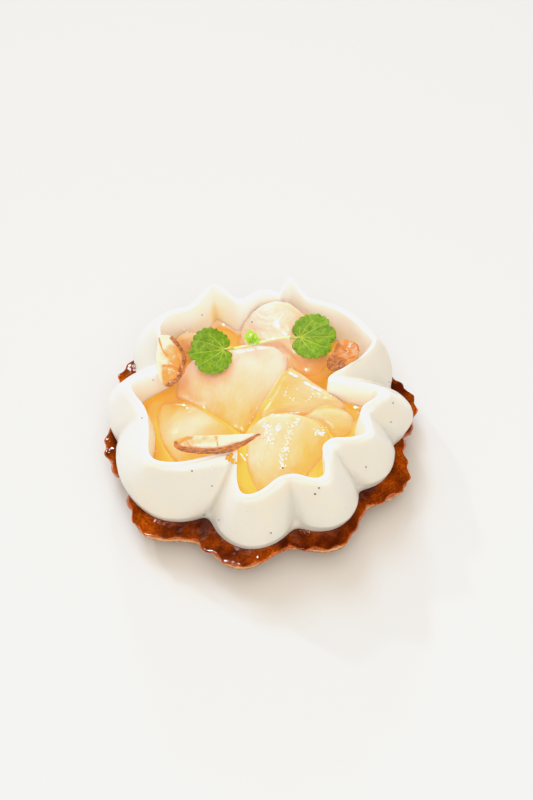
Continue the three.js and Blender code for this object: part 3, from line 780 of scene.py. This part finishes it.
def make_crust(look):
    bm = smoothed(merged_copy("tart_base"), 3)
    cream = tree_of(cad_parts["cream_ruffle"])

    def lower_edge(place):
        waves = 0.3 * MM * ripple(place, 5 * MM, 5)
        return RIM - GLAZE_EDGE + waves + 0.25 * MM * ripple(place, 1.2 * MM, 6)

    def cover(place, _):
        return ease(place.z, lower_edge(place) - GLAZE_FADE, lower_edge(place) + GLAZE_FADE)

    def bared(place, _):
        return math.exp(-(((place.z - lower_edge(place) + BARE_BELOW) / BARE_WIDTH) ** 2))

    def slope(_, normal):
        return ease(1 - normal.z, 0.02, 0.7)

    def relief(place, normal):
        glazed = cover(place, normal)
        crumb = 0.22 * MM * crags(place, 1.3 * MM) + 0.12 * MM * crags(place, 0.5 * MM, 9)
        ripples = 0.28 * MM * ripple(place, 2.6 * MM, 3) + 0.05 * MM * ripple(place, 0.9 * MM, 7)
        away = cream.find_nearest(place, 4 * MM)[3] if glazed > 0 else None
        drawn_up = look.creep * math.exp(-away / look.creep) if away is not None else 0.0
        base = ease(place.z, 0.2 * MM, 1.2 * MM)
        return base * ((1 - glazed) * crumb + glazed * (look.glaze_depth + ripples + drawn_up))

    paint(bm, "thin", slope)
    push(bm, relief)
    paint(bm, "glaze", cover)
    paint(bm, "edge", bared)
    for v in bm.verts:
        v.co.z = max(v.co.z, 0.0)
    settle(bm, "crust", glazed_crust_finish(look), "pastry", "tart_base")


def make_cream(look):
    bm = smoothed(merged_copy("cream_ruffle"), 2)
    foot = [v for v in bm.verts if v.co.z < CREAM_FOOT + FOOT_HEIGHT]
    for _ in range(FOOT_ROUNDS):
        bmesh.ops.smooth_vert(bm, verts=foot, factor=0.5, use_axis_x=True, use_axis_y=True, use_axis_z=True)
    for v in foot:
        v.co.z -= FOOT_SINK * (1 - ease(v.co.z, CREAM_FOOT, CREAM_FOOT + 4.5 * MM))

    def outward(place, normal):
        around = math.atan2(place.y, place.x)
        return normal.x * math.cos(around) + normal.y * math.sin(around)

    # Inner walls and top-facing faces: the cream there is painted brighter, as painted light, and the fold
    # is cut there.
    def inner_and_top_painted_light(place, normal):
        return max(ease(-outward(place, normal), -0.1, 0.4), ease(normal.z, 0.68, 0.93))

    def fold(place, width):
        around = math.atan2(place.y, place.x)
        return math.exp(-(((around - look.groove) * math.hypot(place.x, place.y) / width) ** 2))

    def relief(place, normal):
        above_jelly = ease(place.z, JELLY_TOP - MM, JELLY_TOP + 2 * MM)
        cut = FOLD_DEPTH * fold(place, FOLD_WIDTH) * inner_and_top_painted_light(place, normal) * above_jelly
        around = math.atan2(place.y, place.x)
        swirl = Vector((around * 60 * MM, place.z * 0.35 - math.hypot(place.x, place.y) * 0.5, 0))
        lines = ease(outward(place, normal), 0.1, 0.6) * look.swirl * ripple(swirl, 1.4 * MM)
        return lines + 0.12 * MM * ripple(place, 6 * MM, 4) - cut

    def stain_and_fold_shade(place, normal):
        above_jelly = place.z - JELLY_TOP + 1.5 * MM * ripple(place, 5 * MM, 8)
        washed = max(0.0, 1 - above_jelly / look.stain_height)
        # Juice staining fades upward from the jelly. Along the fold the golden colour is part staining and
        # part painted shade in the crease.
        staining_and_shade = 0.15 * washed**1.6 + 1.2 * fold(place, FOLD_STAIN_AND_SHADE) * washed**0.4
        return inner_and_top_painted_light(place, normal) * min(1.0, staining_and_shade)

    push(bm, relief)
    paint(bm, "inner_and_top_painted_light", inner_and_top_painted_light)
    paint(bm, "stain_and_fold_shade", stain_and_fold_shade)
    settle(bm, "cream", cream_finish(look), "cream", "cream_ruffle")


def make_specks(look, tree):
    bm = bmesh.new()
    draw = Random(11)
    for pixel in SPECK_PIXELS:
        place, normal = seen_at(tree, pixel)
        if place:
            add_grain(bm, place, normal, draw.uniform(0.24, 0.34) * MM, 0.5, draw.uniform(0, math.pi))
    for _ in range(look.specks):
        turn = draw.uniform(0, 2 * math.pi)
        height = draw.uniform(RIM + 2 * MM, CREAM_TOP)
        start = Vector((SPECK_START * math.cos(turn), SPECK_START * math.sin(turn), height))
        inward = Vector((-math.cos(turn), -math.sin(turn), 0))
        place, normal, _, _ = tree.ray_cast(start, inward, SPECK_CAST)
        if place:
            add_grain(bm, place, normal, draw.uniform(0.05, 0.11) * MM, 0.4, draw.uniform(0, math.pi))
    settle(bm, "vanilla_specks", small_grain_finish("vanilla_seed", linear("#1A1512"), 0.6), "cream")


def make_slices(look):
    made = []

    def flesh(place, _):
        return 0.12 * MM * ripple(place, 3 * MM, 2) + 0.04 * MM * ripple(place, 0.9 * MM, 6)

    for name, spec in SLICES.items():
        bm = cut_shape(merged_copy(name), look.swell)
        start, end = (Vector(p) * MM for p in spec["pale"])
        fibre_turn = math.radians(spec["fibres"])

        # Gold grows away from the palest line and low by the jelly: partly the jelly pooled over the flesh,
        # and partly painted shade low among the slices.
        def gold(place, _, start=start, end=end, spec=spec):
            away = from_line(place, start, end) / (spec["reach"] * MM)
            sunk = 1 - ease(place.z, JELLY_TOP, JELLY_TOP + 1.6 * MM)
            return min(1.0, spec["start"] + (1 - spec["start"]) * min(1.0, away) + 0.6 * sunk)

        push(bm, flesh)
        paint(bm, "gold", gold)
        made.append(settle(bm, name + "_flesh", pear_finish(look, name, fibre_turn), "pear", name))
    return made


def blurred(field, cells):
    """A square field of numbers smoothed over that many cells."""
    reach = round(3 * cells)
    weights = np.exp(-0.5 * (np.arange(-reach, reach + 1) / cells) ** 2)
    weights /= weights.sum()
    for _ in range(2):
        edged = np.pad(field, ((reach, reach), (0, 0)), mode="edge")
        field = sum(w * edged[i : i + len(field)] for i, w in enumerate(weights)).T
    return field


def make_jelly(look, cream, slices):
    """The jelly fills the ring, rounds off the crevices between slices and thins out over them."""
    walls = tree_of(cream)
    pears = tree_of(*slices)
    golds = [gold for piece in slices for gold in face_values(piece, "gold")]
    count = round(2 * JELLY_REACH / JELLY_STEP)
    bm = bmesh.new()
    level = Matrix.Translation((0, 0, JELLY_TOP))
    bmesh.ops.create_grid(bm, x_segments=count, y_segments=count, size=JELLY_REACH, matrix=level)
    down = Vector((0, 0, -1))
    centre = Vector((0, 0, JELLY_TOP))
    side = count + 1
    solid = np.full(side * side, JELLY_TOP)
    room = np.zeros(side * side)
    for i, v in enumerate(bm.verts):
        top = Vector((v.co.x, v.co.y, CREAM_TOP + JELLY_LIFT))
        pear = pears.ray_cast(top, down)[0]
        outward = Vector((v.co.x, v.co.y, 0))
        at_centre = outward.length <= MM
        wall = None if at_centre else walls.ray_cast(centre, outward.normalized())[0]
        room[i] = (wall.xy.length - outward.length) if wall else JELLY_REACH
        if pear and room[i] > 0:
            solid[i] = max(JELLY_TOP, min(pear.z, JELLY_TOP + JELLY_LIFT))
        elif room[i] <= 0:
            solid[i] = JELLY_TOP + look.wet_edge * 2
    soft = blurred(solid.reshape(side, side), look.fill_reach / JELLY_STEP).ravel()
    layer = bm.verts.layers.float.new("gold")
    for i, v in enumerate(bm.verts):
        filled = max(JELLY_TOP, soft[i] - look.fill_drop)
        bare = solid[i] <= JELLY_TOP or room[i] <= 0
        hidden = not bare and filled < solid[i] - 0.15 * MM
        v.co.z = solid[i] - JELLY_HIDE if hidden else filled
        v.co.z += 0.05 * MM * ripple(v.co, 3 * MM)
        _, _, face, away = pears.find_nearest(v.co)
        depth = min(away, max(0.0, room[i])) if bare else max(0.0, filled - solid[i])
        # By a slice the jelly starts from the slice's gold, painted shade included, and turns to its own
        # colour as it deepens.
        v[layer] = golds[face] + (1 - golds[face]) * ease(depth, 0.0, look.deep)
    gone = [v for i, v in enumerate(bm.verts) if room[i] < -1.2 * MM]
    bmesh.ops.delete(bm, geom=gone, context="VERTS")
    bmesh.ops.delete(bm, geom=[v for v in bm.verts if not v.link_faces], context="VERTS")
    for item in bmesh.ops.extrude_face_region(bm, geom=list(bm.faces))["geom"]:
        if isinstance(item, bmesh.types.BMVert):
            item.co.z = JELLY_FOOT
    bmesh.ops.recalc_face_normals(bm, faces=bm.faces)
    settle(bm, "jelly", jelly_finish(look), "gel", "pear_jelly")


def make_syrup_glints(look, tree):
    """Drops, thin beads along wet edges and the grainy wet streaks of the front slice, all painted near
    white as glints, and the amber gel crumbs.
    """
    bm = bmesh.new()
    draw = Random(23)
    for pixel, radius in GLINT_DROP_PIXELS:
        place, normal = seen_at(tree, pixel)
        add_grain(bm, place, normal, radius * MM, 0.55, draw.uniform(0, math.pi))
    for radius, *pixels in GLINT_BEAD_PIXELS:
        points = [seen_at(tree, pixel)[0] for pixel in pixels]
        for start, end in zip(points, points[1:]):
            add_bead(bm, start, end, radius * MM)
    for count, scatter, *pixels in GLINT_STREAK_PIXELS:
        for _ in range(count):
            at = draw.uniform(0, len(pixels) - 1.001)
            low = math.floor(at)
            share = at - low
            x, y = (a + (b - a) * share for a, b in zip(pixels[low], pixels[low + 1]))
            place, normal = seen_at(tree, (x + draw.gauss(0, scatter), y + draw.gauss(0, scatter)))
            if place:
                add_grain(bm, place, normal, draw.uniform(0.1, 0.3) * MM, 0.5, draw.uniform(0, math.pi))
    # The syrup grains are painted near white: painted glints.
    settle(bm, "syrup_drops", small_grain_finish("syrup_drops", look.glint_white, 0.08, 1.0), "gel")
    bm = bmesh.new()
    for pixel, radius in CRUMB_PIXELS:
        place, normal = seen_at(tree, pixel)
        add_grain(bm, place, normal, radius * MM, 0.6, draw.uniform(0, math.pi))
    settle(bm, "gel_crumbs", small_grain_finish("amber_gel_crumbs", look.crumb, 0.25, 0.6), "gel")


def make_kernel(look, node, name):
    """An almond piece with its cracks, lumps, toasted patches and skin where the picture shows them."""
    bm = smoothed(merged_copy(node), 4)
    bm.normal_update()
    tree = BVHTree.FromBMesh(bm)
    spots = np.array([v.co for v in bm.verts])
    up = np.array([v.normal.z for v in bm.verts])
    fields = {"skin": np.where(up < 0.1, 1.0, 0.0), "toast": np.zeros(len(spots))}
    relief = np.zeros(len(spots))
    for kind, radius, strength, *pixels in KERNEL_MARKS[node]:
        points = [place for place, _ in (seen_at(tree, pixel) for pixel in pixels) if place]
        if not points:
            continue
        touch = stroke(spots, points, radius * MM)
        if kind == "crack":
            relief -= strength * MM * touch
            fields["toast"] = np.maximum(fields["toast"], touch)
        elif kind == "lump":
            relief += strength * MM * touch
        else:
            sharp = np.clip(2.2 * touch, 0, 1) * strength
            fields[kind] = np.maximum(fields[kind], sharp)
    for v, height, skin in zip(bm.verts, relief, fields["skin"]):
        rough = crags(v.co, 1.3 * MM) * (0.05 + 0.12 * skin) + 0.05 * crags(v.co, 0.5 * MM, 3)
        v.co += v.normal * (height + rough * MM)
    for field, values in fields.items():
        paint_all(bm, field, values)
    settle(bm, name, almond_finish(look, name), "almond", node)


def leaf_frame(node):
    """Middle, direction to the stalk, cross direction and normal of a leaf, and the stalk's end by it."""
    blade = np.array([v.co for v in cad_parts[node].data.vertices])
    stalk = np.array([v.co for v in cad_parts["mint_stalk"].data.vertices])
    middle = (blade.min(0) + blade.max(0)) / 2
    normal = Vector(np.linalg.svd(blade - blade.mean(0), full_matrices=False)[2][2])
    if normal.z < 0:
        normal.negate()
    root = Vector(stalk[np.argmin(np.linalg.norm(stalk - middle, axis=1))])
    middle = Vector(middle)
    along = root - middle
    along = (along - normal * along.dot(normal)).normalized()
    return middle, along, normal.cross(along), normal, root


def leaf_margin(turn, radius, look, cuts):
    """Radius of the toothed margin in a direction, with 0 at the stalk's notch. Far cuts are deeper."""
    notch = math.exp(-((turn / 0.17) ** 2))
    cut = 0.0
    for at in cuts:
        away = abs((math.degrees(turn) - at + 180) % 360 - 180)
        far = ease(abs(at), 125, 145)
        cut = max(cut, (0.5 + 0.8 * far) * math.exp(-((away / (5.0 + 5.0 * far)) ** 0.9)))
    return radius * (1.05 + 0.08 * math.cos(turn) - 0.34 * notch) - look.tooth_depth * cut


def vein_lines(radius):
    """The veins of a leaf in its plane, each a start, an end and a share of the width."""
    start = Vector((LEAF_JUNCTION * radius, 0.0))
    lines = []
    for turn, bend in VEINS:
        heading = Matrix.Rotation(math.radians(turn), 2) @ Vector((1, 0))
        outward = start.dot(heading)
        reach = -outward + math.sqrt(outward**2 + (VEIN_REACH * radius) ** 2 - start.length_squared)
        place, size, step = start, 1.0, reach / VEIN_PARTS
        for part in range(VEIN_PARTS):
            heading = Matrix.Rotation(math.radians(bend / 3), 2) @ heading
            ahead = place + heading * step
            lines.append((place, ahead, size))
            for lean in (-48, 44):
                if 0 < part < VEIN_PARTS - 1 and (part + (lean > 0)) % 2:
                    branch = Matrix.Rotation(math.radians(lean), 2) @ heading
                    lines.append((ahead, ahead + branch * reach * 0.2, 0.5 * size))
            place, size = ahead, size * 0.87
    return lines


def make_leaf(look, node):
    """A mint leaf: the solid's wavy blade with a toothed margin, sunken veins and puffed skin."""
    middle, along, across, normal, root = leaf_frame(node)
    bm = smoothed(merged_copy(node), 4, fits=3)
    flat = [Vector(((v.co - middle).dot(along), (v.co - middle).dot(across))) for v in bm.verts]
    old = np.zeros(MARGIN_STEPS)
    for spot in flat:
        slot = int((math.atan2(spot.y, spot.x) / (2 * math.pi) % 1) * MARGIN_STEPS) % MARGIN_STEPS
        old[slot] = max(old[slot], spot.length)
    margin = old.copy()
    bridge = round(MARGIN_STEPS * 0.11)
    for i in range(-bridge, bridge + 1):
        share = (i + bridge) / (2 * bridge)
        margin[i % MARGIN_STEPS] = (1 - share) * margin[-bridge - 1] + share * margin[bridge + 1]
    outer = np.convolve(np.concatenate([margin[-3:], margin, margin[:3]]), np.ones(7) / 7, "valid")
    moved = []
    for v, spot in zip(bm.verts, flat):
        turn = math.atan2(spot.y, spot.x)
        at = (turn / (2 * math.pi) % 1) * MARGIN_STEPS - 0.5
        low, high, part = math.floor(at) % MARGIN_STEPS, math.ceil(at) % MARGIN_STEPS, at % 1
        wide = (1 - part) * outer[low] + part * outer[high]
        was = (1 - part) * old[low] + part * old[high]
        rim = leaf_margin(turn, wide, look, LEAF_CUTS[node])
        share = min(1.0, spot.length / was)
        grown = spot * ((rim / was - 1) * share**3)
        v.co += along * grown.x + across * grown.y
        moved.append(spot + grown)
    radius = float(outer.mean())
    spots = np.array(moved)
    vein = np.zeros(len(spots))
    for start, end, size in vein_lines(radius):
        vein = np.maximum(vein, size * stroke(spots, [start, end], look.vein_width * (0.5 + 0.5 * size)))
    bm.normal_update()
    for v, sunk in zip(bm.verts, vein):
        up = math.copysign(1.0, v.normal.dot(normal))
        puff = VEIN_RELIEF * ripple(v.co, 1.3 * MM, 2)
        v.co += normal * (puff - up * VEIN_RELIEF * float(sunk))
    paint_all(bm, "vein", vein)
    junction = middle + along * LEAF_JUNCTION * radius
    stem = add_stem(bm, junction - normal * 0.3 * MM, root, STEM_RADIUS)
    layer = bm.verts.layers.float["vein"]
    for v in stem:
        v[layer] = 1.0
    settle(bm, node + "_blade", leaf_finish(look, node), "mint", node)


def add_stem(bm, start, end, radius):
    """A short tapered stem between two places. Gives its vertices."""
    run = end - start
    turn = run.to_track_quat("Z", "Y").to_matrix().to_4x4()
    return bmesh.ops.create_cone(
        bm, cap_ends=True, segments=10, radius1=radius * 0.8, radius2=radius, depth=run.length,
        matrix=Matrix.Translation((start + end) / 2) @ turn,
    )["verts"]


def add_leaflet(bm, base, tip, width):
    """One folded, pointed little leaf of the bud, with two blunt teeth a side."""
    run = tip - base
    side = run.cross(BUD_FACING).normalized()
    up = side.cross(run).normalized()
    columns, rows = LEAFLET_STEPS
    sheet = bmesh.ops.create_grid(bm, x_segments=columns, y_segments=rows, size=1.0)
    for v in sheet["verts"]:
        u, t = v.co.x, (v.co.y + 1) / 2
        teeth = 0.16 * abs(math.sin(7.5 * t))
        half = width * (math.sin(math.pi * min(1.0, t * 1.02) ** 0.75) ** 0.8 + teeth) * (1 - t**6)
        lift = 0.45 * abs(u) * half + 0.25 * width * math.sin(math.pi * t)
        v.co = base + run * t + side * u * half + up * lift


def make_stalk(look):
    """The mint stalk, and the young bud that grows from it."""
    bm = smoothed(merged_copy("mint_stalk"), 1)
    paint_all(bm, "bud", [0.0] * len(bm.verts))
    settle(bm, "mint_sprig_stalk", stalk_finish(look), "mint_stalk", "mint_stalk")
    foot = tree_of(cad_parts["mint_stalk"]).find_nearest(BUD_FOOT)[0]
    bm = bmesh.new()
    for x, y, z, width in BUD_TIPS:
        base = foot + Vector((0.12 * x, 0.12 * y, 0.1)) * MM
        add_leaflet(bm, base, foot + Vector((x, y, z)) * MM, width * MM)
    bm.normal_update()
    bmesh.ops.solidify(bm, geom=list(bm.faces), thickness=LEAFLET_THICKNESS)
    bmesh.ops.recalc_face_normals(bm, faces=bm.faces)
    paint_all(bm, "bud", [1.0] * len(bm.verts))
    settle(bm, "mint_bud", stalk_finish(look), "mint")


# ---- stage ----


def add_sun(name, toward, strength, tint, size):
    """A lamp whose light comes from the direction toward, with soft shadows of that angular size."""
    lamp = bpy.data.lights.new(name, "SUN")
    lamp.energy = strength
    lamp.color = tint[:3]
    lamp.angle = math.radians(size)
    holder = bpy.data.objects.new(name, lamp)
    holder.rotation_mode = "QUATERNION"
    holder.rotation_quaternion = Vector(toward).to_track_quat("Z", "Y")
    bpy.context.scene.collection.objects.link(holder)
    return holder


def add_soft_box(name, place, strength, tint):
    """A wide round lamp that faces the tart."""
    lamp = bpy.data.lights.new(name, "AREA")
    lamp.shape = "DISK"
    lamp.size = SOFT_BOX_SIZE
    lamp.energy = strength
    lamp.color = tint[:3]
    holder = bpy.data.objects.new(name, lamp)
    holder.location = place
    holder.rotation_mode = "QUATERNION"
    holder.rotation_quaternion = Vector(place).to_track_quat("Z", "Y")
    holder.visible_glossy = False
    bpy.context.scene.collection.objects.link(holder)


def soften_highlights(view):
    """Bends the brightest tones over, as film does, so that white cream keeps its shape."""
    view.use_curve_mapping = True
    mapping = view.curve_mapping
    mapping.use_clip = False
    tones = mapping.curves[3].points
    tones[0].location = (0.0, 0.0)
    tones[1].location = (FILM_WHITE, 1.0)
    for tone in FILM_TONES:
        tones.new(*tone)
    mapping.update()


def make_stage(look):
    scene = bpy.context.scene
    bm = bmesh.new()
    bmesh.ops.create_grid(bm, x_segments=1, y_segments=1, size=FLOOR_REACH)
    floor = as_object(bm, "floor")
    floor.data.materials.append(new_material("pale_floor", Base_Color=tuple(look.floor), Roughness=0.7)[0])

    room = bpy.data.worlds.new("room")
    room.use_nodes = True
    backdrop = room.node_tree.nodes["Background"]
    backdrop.inputs["Color"].default_value = tuple(look.fill)
    backdrop.inputs["Strength"].default_value = look.fill_strength
    scene.world = room
    room.cycles_visibility.glossy = False

    key = add_sun("key", (-0.27, 0.58, 0.77), look.key_strength, look.key, 20)
    key.visible_glossy = False
    add_sun("glint_back", (-0.1, 0.93, 0.36), look.glint_strength, (1, 1, 1), 4)
    add_sun("glint_left", (-0.5, 0.6, 0.5), look.glint_strength, (1, 1, 1), 3)
    high = add_sun("glint_high", (-0.35, -0.35, 0.87), 2.5 * look.glint_strength, (1, 1, 1), 3)
    high.visible_diffuse = False
    add_soft_box("soft_box_above", (0, 0.1, 0.9), look.top_strength, look.top)
    add_soft_box("soft_box_front", (0.05, -0.56, 0.76), look.front_strength, look.top)

    camera = bpy.data.cameras.new("camera")
    camera.lens = VIEW_LENS
    camera.sensor_width = SENSOR
    holder = bpy.data.objects.new("camera", camera)
    holder.location = sight((PICTURE[0] / 2, PICTURE[1] / 2))[0]
    holder.rotation_euler = (math.pi / 2 - VIEW_DOWN, 0, 0)
    scene.collection.objects.link(holder)
    scene.camera = holder
    scene.view_settings.view_transform = "Standard"
    soften_highlights(scene.view_settings)


# ---- operators ----


class TART_OT_stage(Operator):
    """Add the floor, the lamps and the camera"""

    bl_idname = "tart.stage"
    bl_label = "Stage"

    def execute(self, context):
        make_stage(context.scene.tart_stage)
        return {"FINISHED"}


class TART_OT_crust(Operator):
    """Add the baked base with its caramel glaze"""

    bl_idname = "tart.crust"
    bl_label = "Crust"

    def execute(self, context):
        make_crust(context.scene.tart_crust)
        return {"FINISHED"}


class TART_OT_cream(Operator):
    """Add the piped ring of cream"""

    bl_idname = "tart.cream"
    bl_label = "Cream"

    def execute(self, context):
        make_cream(context.scene.tart_cream)
        return {"FINISHED"}


class TART_OT_pears(Operator):
    """Add the pear slices and the jelly round them. The cream has to be there"""

    bl_idname = "tart.pears"
    bl_label = "Pears and jelly"

    def execute(self, context):
        look = context.scene.tart_pear
        slices = make_slices(look)
        make_jelly(look, bpy.data.objects["cream"], slices)
        return {"FINISHED"}


class TART_OT_specks(Operator):
    """Add the vanilla specks. The cream and the pears have to be there"""

    bl_idname = "tart.specks"
    bl_label = "Vanilla specks"

    def execute(self, context):
        pieces = [bpy.data.objects["cream"]] + [bpy.data.objects[name + "_flesh"] for name in SLICES]
        make_specks(context.scene.tart_cream, tree_of(*pieces))
        return {"FINISHED"}


class TART_OT_syrup_glints(Operator):
    """Add drops and thin beads of syrup, painted near white as glints. The pears, the jelly and the cream
    have to be there
    """

    bl_idname = "tart.syrup"
    bl_label = "Syrup drops"

    def execute(self, context):
        pieces = [bpy.data.objects[name] for name in ("cream", "jelly")]
        pieces += [bpy.data.objects[name + "_flesh"] for name in SLICES]
        make_syrup_glints(context.scene.tart_pear, tree_of(*pieces))
        return {"FINISHED"}


class TART_OT_almonds(Operator):
    """Add the three pieces of almond"""

    bl_idname = "tart.almonds"
    bl_label = "Almonds"

    def execute(self, context):
        look = context.scene.tart_almond
        make_kernel(look, "almond_half", "half_almond")
        make_kernel(look, "almond_chunk", "broken_almond")
        make_kernel(look, "almond_sliver", "split_almond")
        return {"FINISHED"}


class TART_OT_mint(Operator):
    """Add the mint leaves and their stalk"""

    bl_idname = "tart.mint"
    bl_label = "Mint"

    def execute(self, context):
        look = context.scene.tart_mint
        make_leaf(look, "mint_leaf_left")
        make_leaf(look, "mint_leaf_right")
        make_stalk(look)
        return {"FINISHED"}


class TART_PT_panel(Panel):
    """The tart's pieces and their settings"""

    bl_idname = "TART_PT_panel"
    bl_label = "Pear almond tart"
    bl_space_type = "VIEW_3D"
    bl_region_type = "UI"
    bl_category = "Tart"

    def draw(self, context):
        for operator in OPERATORS:
            self.layout.operator(operator.bl_idname)
        for name in SETTINGS:
            box = self.layout.box()
            box.label(text=name.replace("tart_", "").capitalize())
            group = getattr(context.scene, name)
            for field in group.bl_rna.properties:
                if field.identifier not in {"rna_type", "name"}:
                    box.prop(group, field.identifier)


OPERATORS = (
    TART_OT_stage,
    TART_OT_crust,
    TART_OT_cream,
    TART_OT_pears,
    TART_OT_specks,
    TART_OT_syrup_glints,
    TART_OT_almonds,
    TART_OT_mint,
)
SETTINGS = {
    "tart_crust": CrustSettings,
    "tart_cream": CreamSettings,
    "tart_pear": PearSettings,
    "tart_almond": AlmondSettings,
    "tart_mint": MintSettings,
    "tart_stage": StageSettings,
}
CLASSES = (*SETTINGS.values(), *OPERATORS, TART_PT_panel)


def register():
    for cls in CLASSES:
        bpy.utils.register_class(cls)
    for name, group in SETTINGS.items():
        setattr(bpy.types.Scene, name, PointerProperty(type=group))


def unregister():
    for name in SETTINGS:
        delattr(bpy.types.Scene, name)
    for cls in reversed(CLASSES):
        bpy.utils.unregister_class(cls)


def main():
    register()
    bpy.ops.tart.stage()
    bpy.ops.tart.crust()
    bpy.ops.tart.cream()
    bpy.ops.tart.pears()
    bpy.ops.tart.specks()
    bpy.ops.tart.syrup()
    bpy.ops.tart.almonds()
    bpy.ops.tart.mint()


if __name__ == "__main__":
    main()
